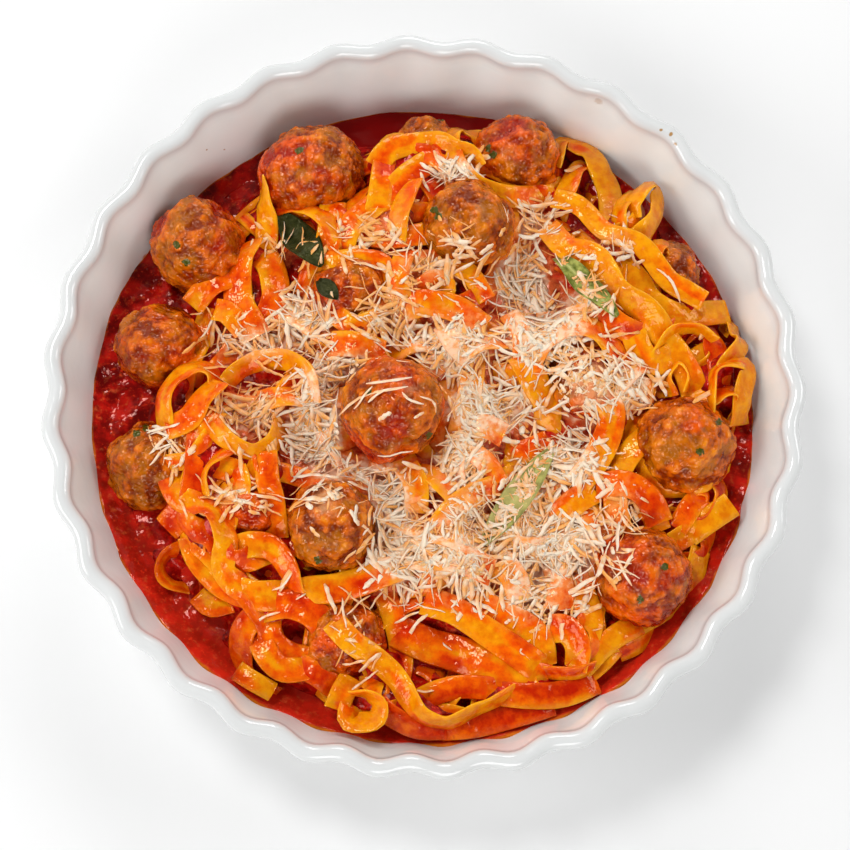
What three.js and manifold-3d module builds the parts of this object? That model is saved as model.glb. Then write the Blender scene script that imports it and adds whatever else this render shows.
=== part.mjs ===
// Baked tagliatelle with meatballs, in tomato sauce, in a round fluted porcelain dish.
// Millimetres, +Z up, origin on the table under the middle of the dish.

import * as THREE from "three";
import { mergeVertices } from "three/addons/utils/BufferGeometryUtils.js";
import Module from "manifold-3d";

const wasm = await Module();
wasm.setup();

// Dish
const DISH_HEIGHT = 56;
const RIM_RADIUS = 140;
const LIP_RADIUS = 3.25;
const LEAN_OUTSIDE = 0.2;
const LEAN_INSIDE = 0.22;
const FLOOR = 5;
const FLOOR_CORNER = 8;
const BASE_RADIUS = 126;
const FOOT_OUTER = 118;
const FOOT_INNER = 110;
const FOOT_HEIGHT = 1.5;
const FLUTES = 32;
const FLUTE_DEPTH = 1.4;
const FLUTE_START = 1.35;
const FLUTE_DRIFT = 1.96;
const FLUTE_DOUBLE_DRIFT = 0.53;
const STEPS_PER_FLUTE = 4;

// Sauce and heap
const GAP = 0.35;
const SAUCE_LEVEL = 26;
const SAUCE_WAVE = 0.5;
const SAUCE_DROP = 9;
const SAUCE_SLOPE_END = 110;
const SAUCE_SIDES = 48;
const CORE_RADIUS = 112;
const CORE_BOTTOM = 8;
const CORE_EDGE = 28.5;
const CORE_CROWN = 44;
const CORE_LUMP = 1.5;
const CORE_SIDES = 28;

// Pieces of food
const NOODLE_WIDTH = 9.5;
const NOODLE_THICKNESS = 1.4;
const NOODLE_STEP = 10;
const NOODLE_SINK = 0.5;
const NOODLE_SAG = 0.7;
const NOODLE_REACH = 11;
const BITE = 0.3;
const SETTLE_STEP = 0.4;
const SETTLE_MOST = 6;
const BASE_NOODLES = 7;
const SHRED_WIDTH = 1.7;
const SHRED_THICKNESS = 1.2;
const LEAF_THICKNESS = 0.8;
const BALL_LUMP = 0.045;
const SMALL_BALL = 15;
const HOLLOW_SHARE = 0.09;

// Places on the food are read as [across, down] in a square picture of 850 units,
// seen from above the near edge. spot() turns them into millimetres at a height.
const VIEW = {
  middle: 425,
  focal: 1424,
  distance: 520,
  tilt: THREE.MathUtils.degToRad(12.5),
  turn: THREE.MathUtils.degToRad(-7.4),
  aim: new THREE.Vector3(-0.6, -15.2, DISH_HEIGHT),
};

// Meatballs: [across, down, height of the centre, radius]
const MEATBALLS = [
  [312, 178, 30, 20.5],
  [200, 247, 29, 19],
  [160, 346, 27, 17.5],
  [152, 467, 26, 17],
  [331, 524, 42, 17],
  [392, 409, 46, 19.3],
  [467, 227, 41, 17.8],
  [516, 158, 30, 17.5],
  [428, 150, 25, 13],
  [668, 277, 29, 13.5],
  [683, 444, 33, 19.4],
  [640, 577, 33, 18.3],
  [345, 638, 28, 16],
  [588, 380, 31, 17],
  [350, 295, 33, 16],
  [252, 513, 33, 11.5],
];

// Noodles that lie on top, lowest first. roll is 0 for a flat one and 90 for one on its edge.
const NOODLES = [
  { at: [[375, 165], [394, 142], [434, 138], [467, 153], [481, 170]], roll: 35 },
  { at: [[441, 176], [407, 190], [364, 214]] },
  { at: [[410, 185], [404, 206], [398, 232]], roll: 20 },
  { at: [[350, 215], [338, 236], [325, 255]], roll: 25 },
  { at: [[322, 262], [355, 258], [383, 268], [400, 290]] },
  { at: [[265, 196], [268, 220], [267, 250]] },
  { at: [[252, 240], [240, 278], [236, 305], [247, 338]], wide: 1.5 },
  { at: [[192, 304], [212, 292], [238, 276]], roll: 15 },
  { at: [[268, 366], [240, 378], [212, 400], [182, 436]] },
  { at: [[222, 430], [236, 452], [262, 456], [286, 434]], roll: 60 },
  { at: [[236, 470], [226, 500], [226, 530], [236, 562]], roll: 20 },
  { at: [[187, 525], [196, 566], [229, 594], [278, 598], [313, 615]], roll: 25 },
  { at: [[222, 545], [262, 548], [286, 566], [296, 592]] },
  { at: [[246, 600], [240, 630], [246, 664], [266, 692]] },
  { at: [[262, 636], [275, 662], [310, 678]], roll: 30 },
  { at: [[318, 600], [340, 632], [374, 663], [414, 694], [444, 722]] },
  { at: [[222, 672], [240, 690], [268, 706]] },
  { at: [[414, 598], [455, 620], [498, 646], [544, 680]], wide: 1.15 },
  { at: [[424, 694], [470, 690], [530, 692], [596, 696]] },
  { at: [[405, 690], [428, 718], [464, 716], [500, 700]], roll: 50 },
  { at: [[540, 618], [572, 634], [586, 668]], roll: 15 },
  { at: [[576, 600], [584, 620], [590, 642]], roll: 30 },
  { at: [[638, 632], [606, 656], [566, 676]] },
  { at: [[712, 560], [700, 598], [668, 640]], roll: 35 },
  { at: [[480, 520], [500, 560], [540, 580], [590, 578]] },
  { at: [[430, 500], [452, 540], [446, 580], [410, 600]] },
  { at: [[520, 430], [560, 452], [600, 448], [622, 430]], roll: 20 },
  { at: [[560, 520], [590, 500], [628, 506]], roll: 15 },
  { at: [[296, 372], [316, 398], [318, 436], [296, 470]] },
  { at: [[350, 350], [330, 372], [300, 380]], roll: 20 },
  { at: [[450, 300], [480, 330], [476, 372], [450, 396]] },
  { at: [[610, 330], [640, 352], [676, 380]], roll: 25 },
  { at: [[643, 340], [676, 352], [704, 395]], roll: 20 },
  { at: [[560, 190], [596, 180], [618, 204], [640, 236]], roll: 40 },
  { at: [[586, 226], [616, 232], [652, 222]], roll: 35 },
  { at: [[610, 260], [634, 288], [670, 312], [717, 318]] },
  { at: [[540, 236], [583, 268], [630, 304], [668, 330], [700, 372]] },
  { at: [[548, 200], [600, 232], [652, 266], [706, 302]], wide: 1.1 },
];

// Noodles curled into standing loops: [across, down, radius across, radius down]
const LOOPS = [
  [724, 398, 13, 26],
  [196, 388, 20, 17],
  [358, 706, 18, 16],
  [176, 572, 11, 16],
];

// Grated cheese: [left, top, right, bottom, shreds]
const CHEESE = [
  [250, 296, 345, 350, 5],
  [215, 365, 292, 442, 5],
  [278, 420, 342, 480, 4],
  [430, 255, 560, 350, 9],
  [436, 380, 544, 460, 6],
  [376, 466, 440, 560, 5],
  [470, 490, 620, 600, 8],
  [380, 560, 500, 625, 4],
  [546, 326, 650, 425, 5],
];

// Basil: [[start], [end], width, colour]
const LEAVES = [
  [[553, 262], [617, 317], 9, "#5f8f2a"],
  [[550, 452], [482, 545], 11, "#3f6a22"],
  [[283, 220], [322, 267], 13, "#2f5a1d"],
  [[318, 282], [338, 300], 7, "#4a7526"],
];

// A seeded draw, so that the same heap comes out each time.
function makeDraw(seed) {
  let state = seed;
  return (low, high) => {
    state = (state * 1664525 + 1013904223) % 4294967296;
    return low + ((high - low) * state) / 4294967296;
  };
}

// The place in millimetres that the picture shows at [across, down], at a height.
function spot(across, down, height) {
  const back = new THREE.Vector3(
    Math.sin(VIEW.turn) * Math.sin(VIEW.tilt),
    -Math.cos(VIEW.turn) * Math.sin(VIEW.tilt),
    Math.cos(VIEW.tilt),
  );
  const eye = VIEW.aim.clone().addScaledVector(back, VIEW.distance);
  const right = new THREE.Vector3().crossVectors(new THREE.Vector3(0, 1, 0), back).normalize();
  const up = new THREE.Vector3().crossVectors(back, right);
  const ray = back.clone().negate();
  ray.addScaledVector(right, (across - VIEW.middle) / VIEW.focal);
  ray.addScaledVector(up, (VIEW.middle - down) / VIEW.focal);
  return eye.addScaledVector(ray, (height - eye.z) / ray.z);
}

// Moves each corner of a geometry by a function of its place.
function reshape(geometry, move) {
  const places = geometry.attributes.position;
  const point = new THREE.Vector3();
  for (let i = 0; i < places.count; i += 1) {
    point.fromBufferAttribute(places, i);
    move(point);
    places.setXYZ(i, point.x, point.y, point.z);
  }
  return geometry;
}

// A closed geometry as a solid, with its corners merged and its faces pointing out.
function solid(geometry) {
  const bare = new THREE.BufferGeometry();
  bare.setAttribute("position", geometry.attributes.position);
  bare.setIndex(geometry.index);
  const merged = mergeVertices(bare, 1e-3);
  const corners = merged.index.array;
  const faces = [];
  for (let i = 0; i < corners.length; i += 3) {
    const [a, b, c] = [corners[i], corners[i + 1], corners[i + 2]];
    if (a !== b && b !== c && c !== a) faces.push([a, b, c]);
  }
  const build = (list) =>
    new wasm.Manifold(
      new wasm.Mesh({
        numProp: 3,
        vertProperties: merged.attributes.position.array,
        triVerts: Uint32Array.from(list.flat()),
      }),
    );
  const made = build(faces);
  return made.volume() > 0 ? made : build(faces.map(([a, b, c]) => [a, c, b]));
}

// The largest body of a solid, without loose scraps or sealed hollows.
function largestBody(made) {
  return made.decompose().reduce((best, body) => (body.volume() > best.volume() ? body : best));
}

// A named mesh from a solid.
function meshOf(name, made, material) {
  const { numProp, vertProperties, triVerts } = made.getMesh();
  const places = new Float32Array((vertProperties.length / numProp) * 3);
  for (let i = 0; i < places.length; i += 1) {
    places[i] = vertProperties[Math.floor(i / 3) * numProp + (i % 3)];
  }
  const geometry = new THREE.BufferGeometry();
  geometry.setAttribute("position", new THREE.BufferAttribute(places, 3));
  geometry.setIndex(new THREE.BufferAttribute(triVerts, 1));
  geometry.computeVertexNormals();
  const mesh = new THREE.Mesh(geometry, material);
  mesh.name = name;
  return mesh;
}

// A solid of revolution about Z from a profile of [radius, height] points.
function turned(profile, sides) {
  const points = profile.map(([radius, height]) => new THREE.Vector2(radius, height));
  return new THREE.LatheGeometry(points, sides).rotateX(Math.PI / 2);
}

// The angle round the dish at which the flutes have run through a phase: they are hand-made,
// a little closer together on one side than on the other.
function angleOfPhase(phase) {
  let angle = phase / FLUTES;
  for (let i = 0; i < 8; i += 1) {
    const drift = FLUTE_DRIFT * Math.cos(angle) - FLUTE_DOUBLE_DRIFT * Math.sin(2 * angle);
    angle = (phase - FLUTE_START - drift) / FLUTES;
  }
  return angle;
}

const LIP_CENTRE = DISH_HEIGHT - LIP_RADIUS;
const WALL_MIDDLE = RIM_RADIUS - LIP_RADIUS;

// Radius of the plain inside wall at a height.
function innerRadius(height) {
  return WALL_MIDDLE - LIP_RADIUS - LEAN_INSIDE * (LIP_CENTRE - height);
}

// How deep the flutes are at a place on the dish: full at the lip, gone at the foot,
// and fading down the inside wall to a trace at the sauce.
function fluteDepth(radius, height) {
  const inside = radius < WALL_MIDDLE - 0.21 * (LIP_CENTRE - height);
  const [bottom, top] = inside ? [SAUCE_LEVEL - 5, LIP_CENTRE] : [2, 12];
  return FLUTE_DEPTH * THREE.MathUtils.clamp((height - bottom) / (top - bottom), 0, 1);
}

function makeDish() {
  const lip = [-1, -0.5, 0, 0.5, 1].map((turn) => {
    const angle = (turn * Math.PI) / 2;
    return [WALL_MIDDLE - LIP_RADIUS * Math.sin(angle), LIP_CENTRE + LIP_RADIUS * Math.cos(angle)];
  });
  const wallFoot = FLOOR + FLOOR_CORNER;
  const cornerRadius = innerRadius(wallFoot);
  const profile = [
    [0, FOOT_HEIGHT],
    [FOOT_INNER - FOOT_HEIGHT, FOOT_HEIGHT],
    [FOOT_INNER, 0],
    [FOOT_OUTER, 0],
    [BASE_RADIUS, 2.5],
    [RIM_RADIUS - LEAN_OUTSIDE * (LIP_CENTRE - 12), 12],
    ...lip,
    [innerRadius(SAUCE_LEVEL), SAUCE_LEVEL],
    [cornerRadius, wallFoot],
    [cornerRadius - FLOOR_CORNER, FLOOR],
    [0, FLOOR],
  ];
  const sides = FLUTES * STEPS_PER_FLUTE;
  return solid(
    reshape(turned(profile, sides), (point) => {
      const radius = Math.hypot(point.x, point.y);
      const phase = FLUTES * Math.atan2(point.y, point.x);
      const angle = angleOfPhase(phase);
      const fluted = radius - fluteDepth(radius, point.z) * Math.cos(phase);
      point.x = fluted * Math.cos(angle);
      point.y = fluted * Math.sin(angle);
    }),
  );
}

// Height of the top of the core.
function coreTop(x, y) {
  const out = Math.min(1, Math.hypot(x, y) / CORE_RADIUS);
  const lumps = Math.sin(x / 9 + 1) * Math.sin(y / 11) + 0.6 * Math.sin((x + y) / 7);
  return CORE_EDGE + (CORE_CROWN - CORE_EDGE) * (1 - out * out) + CORE_LUMP * lumps * (1 - out ** 4);
}

// The core of the heap, out by a margin on every side.
function makeCore(margin) {
  const profile = [
    [0, CORE_BOTTOM - margin],
    [CORE_RADIUS - 12, CORE_BOTTOM - margin],
    [CORE_RADIUS - 3, CORE_BOTTOM + 8],
    [CORE_RADIUS, CORE_EDGE - 5],
    [CORE_RADIUS, CORE_EDGE],
  ];
  for (const share of [0.9, 0.72, 0.54, 0.36, 0.18, 0]) {
    profile.push([CORE_RADIUS * share, CORE_EDGE + 1]);
  }
  return solid(
    reshape(turned(profile, CORE_SIDES), (point) => {
      const radius = Math.hypot(point.x, point.y);
      const angle = Math.atan2(point.y, point.x);
      if (point.z >= CORE_EDGE) point.z = coreTop(point.x, point.y) + margin;
      if (radius < 0.5) return;
      const bulge = 3 * Math.sin(5 * angle + 1) + 2 * Math.sin(11 * angle);
      const grown = radius + (bulge * radius) / CORE_RADIUS + margin;
      point.x *= grown / radius;
      point.y *= grown / radius;
    }),
  );
}

// Height of the sauce, which is too thick to run level and lies lower towards the far edge.
function sauceTop(x, y) {
  const drop = SAUCE_DROP * THREE.MathUtils.smoothstep(y, 0, SAUCE_SLOPE_END);
  return SAUCE_LEVEL - drop + SAUCE_WAVE * Math.sin(x / 8 + 2) * Math.sin(y / 9);
}

function makeSauce() {
  const wallFoot = FLOOR + FLOOR_CORNER;
  const wall = (height) => innerRadius(height) - GAP;
  const profile = [
    [0, FLOOR + GAP],
    [wall(wallFoot) - FLOOR_CORNER - GAP, FLOOR + GAP],
    [wall(wallFoot) - GAP, wallFoot],
    [wall(SAUCE_LEVEL) - GAP, SAUCE_LEVEL],
    [wall(SAUCE_LEVEL) - 7, SAUCE_LEVEL],
    [wall(SAUCE_LEVEL) - 14, SAUCE_LEVEL],
    [0, SAUCE_LEVEL],
  ];
  return solid(
    reshape(turned(profile, SAUCE_SIDES), (point) => {
      if (point.z < SAUCE_LEVEL - 1) return;
      point.z = sauceTop(point.x, point.y);
      const radius = Math.hypot(point.x, point.y);
      const inward = Math.min(1, (wall(point.z) - GAP) / radius);
      point.x *= inward;
      point.y *= inward;
    }),
  );
}

// A hand-rolled ball: a sphere with soft lumps, out by a margin.
function makeBall({ centre, radius, seed }, margin, detail) {
  return solid(
    reshape(new THREE.IcosahedronGeometry(1, detail), (point) => {
      const lump =
        Math.sin(3.1 * point.x + seed) +
        Math.sin(3.7 * point.y + 2.3 * seed) +
        Math.sin(4.3 * point.z + 1.7 * seed);
      point.multiplyScalar(radius * (1 + BALL_LUMP * lump) + margin).add(centre);
    }),
  );
}

// Two equal sheets joined round their rim. place(along, across, face) gives each corner, with
// along 0 to 1, across -0.5 to 0.5 and face 1 above or -1 below.
function makeSheet(steps, lanes, place) {
  const plane = new THREE.PlaneGeometry(1, 1, steps, lanes);
  const count = plane.attributes.position.count;
  const corners = plane.index.array;
  const places = [];
  for (const face of [1, -1]) {
    for (let i = 0; i < count; i += 1) {
      const along = plane.attributes.position.getX(i) + 0.5;
      const across = plane.attributes.position.getY(i);
      places.push(...place(along, across, face).toArray());
    }
  }
  const faces = [];
  const edges = new Set();
  for (let i = 0; i < corners.length; i += 3) {
    const [a, b, c] = [corners[i], corners[i + 1], corners[i + 2]];
    faces.push(a, b, c, a + count, c + count, b + count);
    edges.add(`${a} ${b}`).add(`${b} ${c}`).add(`${c} ${a}`);
  }
  for (const edge of edges) {
    const [a, b] = edge.split(" ").map(Number);
    if (!edges.has(`${b} ${a}`)) faces.push(b, a, a + count, b, a + count, b + count);
  }
  const geometry = new THREE.BufferGeometry();
  geometry.setAttribute("position", new THREE.Float32BufferAttribute(places, 3));
  geometry.setIndex(faces);
  return geometry;
}

// Heights of what lies in the dish so far, on a square grid. heap is what a noodle may fuse
// with, and keep is what it stays clear of.
const CELL = 2;
const CELLS = 140;
const heap = new Float32Array(CELLS * CELLS).fill(-1);
const keep = new Float32Array(CELLS * CELLS).fill(-1);

function cellOf(x, y) {
  const column = Math.round(x / CELL + CELLS / 2);
  const row = Math.round(y / CELL + CELLS / 2);
  return THREE.MathUtils.clamp(row, 1, CELLS - 2) * CELLS + THREE.MathUtils.clamp(column, 1, CELLS - 2);
}

// The highest value of a grid in and next to the cell at a place.
function highest(grid, x, y) {
  const cell = cellOf(x, y);
  let top = -1;
  for (const step of [0, 1, -1, CELLS, -CELLS]) top = Math.max(top, grid[cell + step]);
  return top;
}

function raise(grid, x, y, height) {
  const cell = cellOf(x, y);
  grid[cell] = Math.max(grid[cell], height);
}

// Where the underside of a piece may lie, sunk a little into the heap and clear of the rest.
function ground(x, y, sink) {
  return Math.max(highest(heap, x, y) - sink, highest(keep, x, y) + GAP);
}

// Side of a plan line at each of its points, as unit vectors in the plane.
function sidesOf(line) {
  return line.map((point, i) => {
    const ahead = line[Math.min(i + 1, line.length - 1)];
    const behind = line[Math.max(i - 1, 0)];
    return new THREE.Vector3(behind.y - ahead.y, ahead.x - behind.x, 0).normalize();
  });
}

// Lays a plan line of points on what is there: each point gets the lowest height that keeps
// the whole width up, and the line bridges hollows with a little sag.
function drape(line, width, thickness, roll, sink) {
  const sides = sidesOf(line);
  const flat = Math.cos(roll) * width;
  const tall = Math.sin(roll) * width;
  const middles = line.map((point, i) => point.clone().lerp(line[Math.min(i + 1, line.length - 1)], 0.5));
  line.forEach((point, i) => {
    let height = -1;
    for (const near of [point, middles[i], middles[Math.max(i - 1, 0)]]) {
      for (const across of [-0.5, -0.25, 0, 0.25, 0.5]) {
        const at = near.clone().addScaledVector(sides[i], across * flat);
        height = Math.max(height, ground(at.x, at.y, sink) - across * tall + thickness / 2);
      }
    }
    point.z = height;
  });
  for (let round = 0; round < 10; round += 1) {
    for (let i = 1; i < line.length - 1; i += 1) {
      line[i].z = Math.max(line[i].z, (line[i - 1].z + line[i + 1].z) / 2 - NOODLE_SAG);
    }
  }
}

// A flat band along a line, rolled about it by an angle.
function makeBand(line, width, thickness, roll) {
  const steps = line.length - 1;
  const sides = sidesOf(line);
  return makeSheet(steps, 1, (along, across, face) => {
    const i = Math.round(along * steps);
    const ahead = line[Math.min(i + 1, steps)];
    const behind = line[Math.max(i - 1, 0)];
    const forward = ahead.clone().sub(behind).normalize();
    const up = new THREE.Vector3().crossVectors(forward, sides[i]);
    const broad = sides[i].clone().multiplyScalar(Math.cos(roll)).addScaledVector(up, Math.sin(roll));
    const thin = up.clone().multiplyScalar(Math.cos(roll)).addScaledVector(sides[i], -Math.sin(roll));
    return line[i]
      .clone()
      .addScaledVector(broad, across * width)
      .addScaledVector(thin, (face * thickness) / 2);
  });
}

// A place in the picture on the surface of the heap, kept inside the dish by a margin.
function onHeap([across, down], margin) {
  let place = spot(across, down, CORE_EDGE);
  place = spot(across, down, coreTop(place.x, place.y) + 2);
  const most = innerRadius(SAUCE_LEVEL) - margin;
  const radius = Math.hypot(place.x, place.y);
  if (radius > most) place.multiplyScalar(most / radius);
  return place.setZ(0);
}

// A smooth plan line through some points, with steps of about the same length.
function smoothLine(points, closed) {
  const curve = new THREE.CatmullRomCurve3(points, closed);
  return curve.getSpacedPoints(Math.max(3, Math.round(curve.getLength() / NOODLE_STEP)));
}

// Raises a grid over a band, so that later pieces lie on it.
function stampBand(grid, line, width, thickness, roll) {
  const sides = sidesOf(line);
  for (let i = 0; i < line.length - 1; i += 1) {
    for (let part = 0; part < 1; part += 0.2) {
      const point = line[i].clone().lerp(line[i + 1], part);
      for (let across = -0.5; across <= 0.5; across += 0.125) {
        const out = across * width;
        const at = point.clone().addScaledVector(sides[i], out * Math.cos(roll));
        raise(grid, at.x, at.y, point.z + out * Math.sin(roll) + thickness / 2);
      }
    }
  }
}

// The corners of a solid, as [x, y, z].
function cornersOf(made) {
  const { vertProperties, numProp } = made.getMesh();
  const corners = [];
  for (let i = 0; i < vertProperties.length; i += numProp) {
    corners.push([...vertProperties.subarray(i, i + 3)]);
  }
  return corners;
}

// Whether a solid lies low enough on the heap to leave the space over it free.
function isLow(made) {
  return cornersOf(made).every(([x, y, z]) => z < coreTop(x, y) + NOODLE_REACH);
}

// Whether a solid is clear of the sauce, the dish and the pieces in the way.
function isClear(made, obstacles) {
  const inside = cornersOf(made).every(
    ([x, y, z]) =>
      z > sauceTop(x, y) + SAUCE_WAVE + GAP && Math.hypot(x, y) < innerRadius(z) - FLUTE_DEPTH,
  );
  return inside && obstacles.every((other) => made.intersect(other).volume() < 1e-3);
}

// Wavy noodles spread over the heap by a seeded draw, under the ones that are placed by hand.
function baseLines(draw) {
  const lines = [];
  for (let i = 0; i < BASE_NOODLES; i += 1) {
    const turn = i * 2.4 + draw(-0.2, 0.2);
    const reach = 104 * Math.sqrt((i + 0.5) / BASE_NOODLES);
    const middle = new THREE.Vector3(reach * Math.cos(turn), reach * Math.sin(turn), 0);
    const heading = turn + Math.PI / 2 + draw(-0.5, 0.5);
    const along = new THREE.Vector3(Math.cos(heading), Math.sin(heading), 0);
    const side = new THREE.Vector3(-along.y, along.x, 0);
    const length = draw(44, 66);
    const points = [-0.5, -0.2, 0.15, 0.5].map((share) =>
      middle.clone().addScaledVector(along, share * length).addScaledVector(side, draw(-7, 7)),
    );
    const most = innerRadius(SAUCE_LEVEL) - NOODLE_WIDTH;
    points.forEach((point) => point.clampLength(0, most));
    lines.push({ line: smoothLine(points), width: NOODLE_WIDTH, roll: 0 });
  }
  return lines;
}

// The noodles that are placed by hand, and the standing loops.
function placedLines() {
  const lines = NOODLES.map(({ at, wide = 1, roll = 0 }) => ({
    line: smoothLine(at.map((place) => onHeap(place, NOODLE_WIDTH * 0.75))),
    width: NOODLE_WIDTH * wide,
    roll: THREE.MathUtils.degToRad(roll),
  }));
  for (const [across, down, reachAcross, reachDown] of LOOPS) {
    const points = [0, 1, 2, 3, 4, 5].map((step) => {
      const angle = (step * Math.PI) / 3.15;
      return onHeap([across + reachAcross * Math.cos(angle), down + reachDown * Math.sin(angle)], 3);
    });
    lines.push({ line: smoothLine(points), width: NOODLE_WIDTH * 0.8, roll: Math.PI / 2 });
  }
  return lines;
}

// A band laid on the heap and lowered until it bites into it, or nothing where it would
// cross a meatball, the sauce or the dish.
function layBand(line, width, thickness, roll, under, obstacles) {
  const laid = line.map((point) => point.clone());
  drape(laid, width, thickness, roll, NOODLE_SINK);
  for (let drop = 0; drop < SETTLE_MOST; drop += SETTLE_STEP) {
    const band = solid(makeBand(laid, width, thickness, roll));
    if (!isLow(band) || !isClear(band, obstacles)) return null;
    if (band.intersect(under).volume() > BITE) return { band, laid };
    for (const point of laid) point.z -= SETTLE_STEP;
  }
  return null;
}

// One noodle on the heap. Where it can't lie whole it is shortened from its ends, and it is
// left out if less than half of it stays clear.
function layNoodle({ line, width, roll }, under, obstacles) {
  for (let cut = 0; cut <= line.length / 2; cut += 1) {
    for (let front = 0; front <= cut; front += 1) {
      const rest = line.slice(front, line.length - (cut - front));
      if (rest.length < 3) continue;
      const found = layBand(rest, width, NOODLE_THICKNESS, roll, under, obstacles);
      if (found) return found;
    }
  }
  return null;
}

// The core with its noodles and its cheese fused on, as one body.
function makePasta(core, obstacles) {
  const draw = makeDraw(7);
  let pasta = core;
  for (const noodle of [...baseLines(draw), ...placedLines()]) {
    const found = layNoodle(noodle, pasta, obstacles);
    if (!found) continue;
    pasta = pasta.add(found.band);
    stampBand(heap, found.laid, noodle.width, NOODLE_THICKNESS, noodle.roll);
  }
  for (const line of shredLines(draw)) {
    const found = layBand(line, SHRED_WIDTH, SHRED_THICKNESS, 0, pasta, obstacles);
    if (found) pasta = pasta.add(found.band);
  }
  return largestBody(pasta);
}

// Short strips of grated cheese, drawn at random inside the patches that it covers.
function shredLines(draw) {
  return CHEESE.flatMap(([left, top, right, bottom, count]) =>
    Array.from({ length: count }, () => {
      const middle = onHeap([draw(left, right), draw(top, bottom)], 8);
      const heading = draw(0, Math.PI);
      const reach = new THREE.Vector3(Math.cos(heading), Math.sin(heading), 0);
      reach.multiplyScalar(draw(3, 5.5));
      return [middle.clone().sub(reach), middle.clone().add(reach)];
    }),
  );
}

// A thin leaf with a pointed outline and a rippled blade, lying on the heap.
function makeLeaf([start, end, width], others) {
  const steps = 6;
  const line = new THREE.CatmullRomCurve3([onHeap(start, 8), onHeap(end, 8)]).getSpacedPoints(steps);
  drape(line, width, LEAF_THICKNESS, 0, -GAP);
  const sides = sidesOf(line);
  let lift = 0;
  const build = () =>
    solid(
      makeSheet(steps * 2, 2, (along, across, face) => {
        const part = along * steps;
        const i = Math.min(Math.floor(part), steps - 1);
        const outline = 0.15 + 0.85 * Math.sin(Math.PI * Math.min(1, along * 0.9 + 0.08)) ** 0.8;
        const point = line[i].clone().lerp(line[i + 1], part - i);
        point.addScaledVector(sides[i], across * width * outline);
        point.z += 5 * across * across + 0.5 * Math.sin(7 * along + 4 * across) + lift;
        point.z += (face * LEAF_THICKNESS) / 2;
        return point;
      }),
    );
  let leaf = build();
  while (lift < 12 && !isClear(leaf, others)) {
    lift += 0.4;
    leaf = build();
  }
  return leaf;
}

function porcelain() {
  return new THREE.MeshStandardMaterial({ color: "#f1eeee", roughness: 0.15 });
}

function tomatoSauce() {
  return new THREE.MeshStandardMaterial({ color: "#9c1710", roughness: 0.2 });
}

function cookedPasta() {
  return new THREE.MeshStandardMaterial({ color: "#e79a22", roughness: 0.35 });
}

function cookedMeat() {
  return new THREE.MeshStandardMaterial({ color: "#a8542c", roughness: 0.45 });
}

function basil(color) {
  return new THREE.MeshStandardMaterial({ color, roughness: 0.5 });
}

function fillGrids(centres) {
  for (let row = 0; row < CELLS; row += 1) {
    for (let column = 0; column < CELLS; column += 1) {
      const x = (column - CELLS / 2) * CELL;
      const y = (row - CELLS / 2) * CELL;
      raise(keep, x, y, sauceTop(x, y) + SAUCE_WAVE);
      if (Math.hypot(x, y) < CORE_RADIUS) raise(heap, x, y, coreTop(x, y));
      for (const { centre, radius } of centres) {
        const out = Math.hypot(x - centre.x, y - centre.y) / (radius * 1.06);
        if (out < 1) raise(keep, x, y, centre.z + radius * 1.06 * Math.sqrt(1 - out * out));
      }
    }
  }
}

function makeMeal() {
  const group = new THREE.Group();
  const balls = MEATBALLS.map(([across, down, height, radius], i) => ({
    centre: spot(across, down, height),
    radius,
    seed: i + 1,
  }));
  const detailOf = (ball) => (ball.radius < SMALL_BALL ? 1 : 2);
  const ballSolids = balls.map((ball) => makeBall(ball, 0, detailOf(ball)));
  const ballRooms = balls.map((ball) => makeBall(ball, GAP, detailOf(ball)));
  let core = makeCore(0);
  let sauce = makeSauce().subtract(makeCore(GAP));
  for (const ball of balls) {
    const hollow = makeBall(ball, GAP + HOLLOW_SHARE * ball.radius, 1);
    core = core.subtract(hollow);
    sauce = sauce.subtract(hollow);
  }
  fillGrids(balls);
  const pasta = makePasta(largestBody(core), ballRooms);
  group.add(meshOf("dish", makeDish(), porcelain()));
  group.add(meshOf("tomato_sauce", largestBody(sauce), tomatoSauce()));
  group.add(meshOf("tagliatelle", pasta, cookedPasta()));
  ballSolids.forEach((ball, i) => {
    group.add(meshOf(`meatball_${String(i + 1).padStart(2, "0")}`, ball, cookedMeat()));
  });
  LEAVES.forEach((leaf, i) => {
    const blade = makeLeaf(leaf, [...ballRooms, pasta]);
    group.add(meshOf(`basil_leaf_${i + 1}`, blade, basil(leaf[3])));
  });
  return group;
}

const meal = makeMeal();

export default meal;
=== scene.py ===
"""Baked tagliatelle with meatballs: the looks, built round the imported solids.

Sizes are in millimetres until a mesh is made, which is where they become metres.
"""

import math

import bmesh
import bpy
import numpy as np
from mathutils import Matrix, Vector


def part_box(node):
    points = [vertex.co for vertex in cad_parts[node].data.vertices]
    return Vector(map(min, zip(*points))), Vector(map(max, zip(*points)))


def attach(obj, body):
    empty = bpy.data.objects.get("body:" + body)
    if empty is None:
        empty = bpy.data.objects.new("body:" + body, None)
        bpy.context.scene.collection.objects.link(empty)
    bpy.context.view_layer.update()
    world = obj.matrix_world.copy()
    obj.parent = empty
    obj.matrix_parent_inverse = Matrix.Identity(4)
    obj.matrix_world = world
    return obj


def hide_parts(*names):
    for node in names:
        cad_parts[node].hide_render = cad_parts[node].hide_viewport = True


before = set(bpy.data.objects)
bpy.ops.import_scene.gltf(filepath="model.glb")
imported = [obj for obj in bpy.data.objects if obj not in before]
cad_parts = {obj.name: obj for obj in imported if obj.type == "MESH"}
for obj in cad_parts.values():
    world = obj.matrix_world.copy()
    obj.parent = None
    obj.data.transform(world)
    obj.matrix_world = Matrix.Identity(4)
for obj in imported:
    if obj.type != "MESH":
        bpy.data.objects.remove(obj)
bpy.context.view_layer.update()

MM = 0.001

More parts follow.
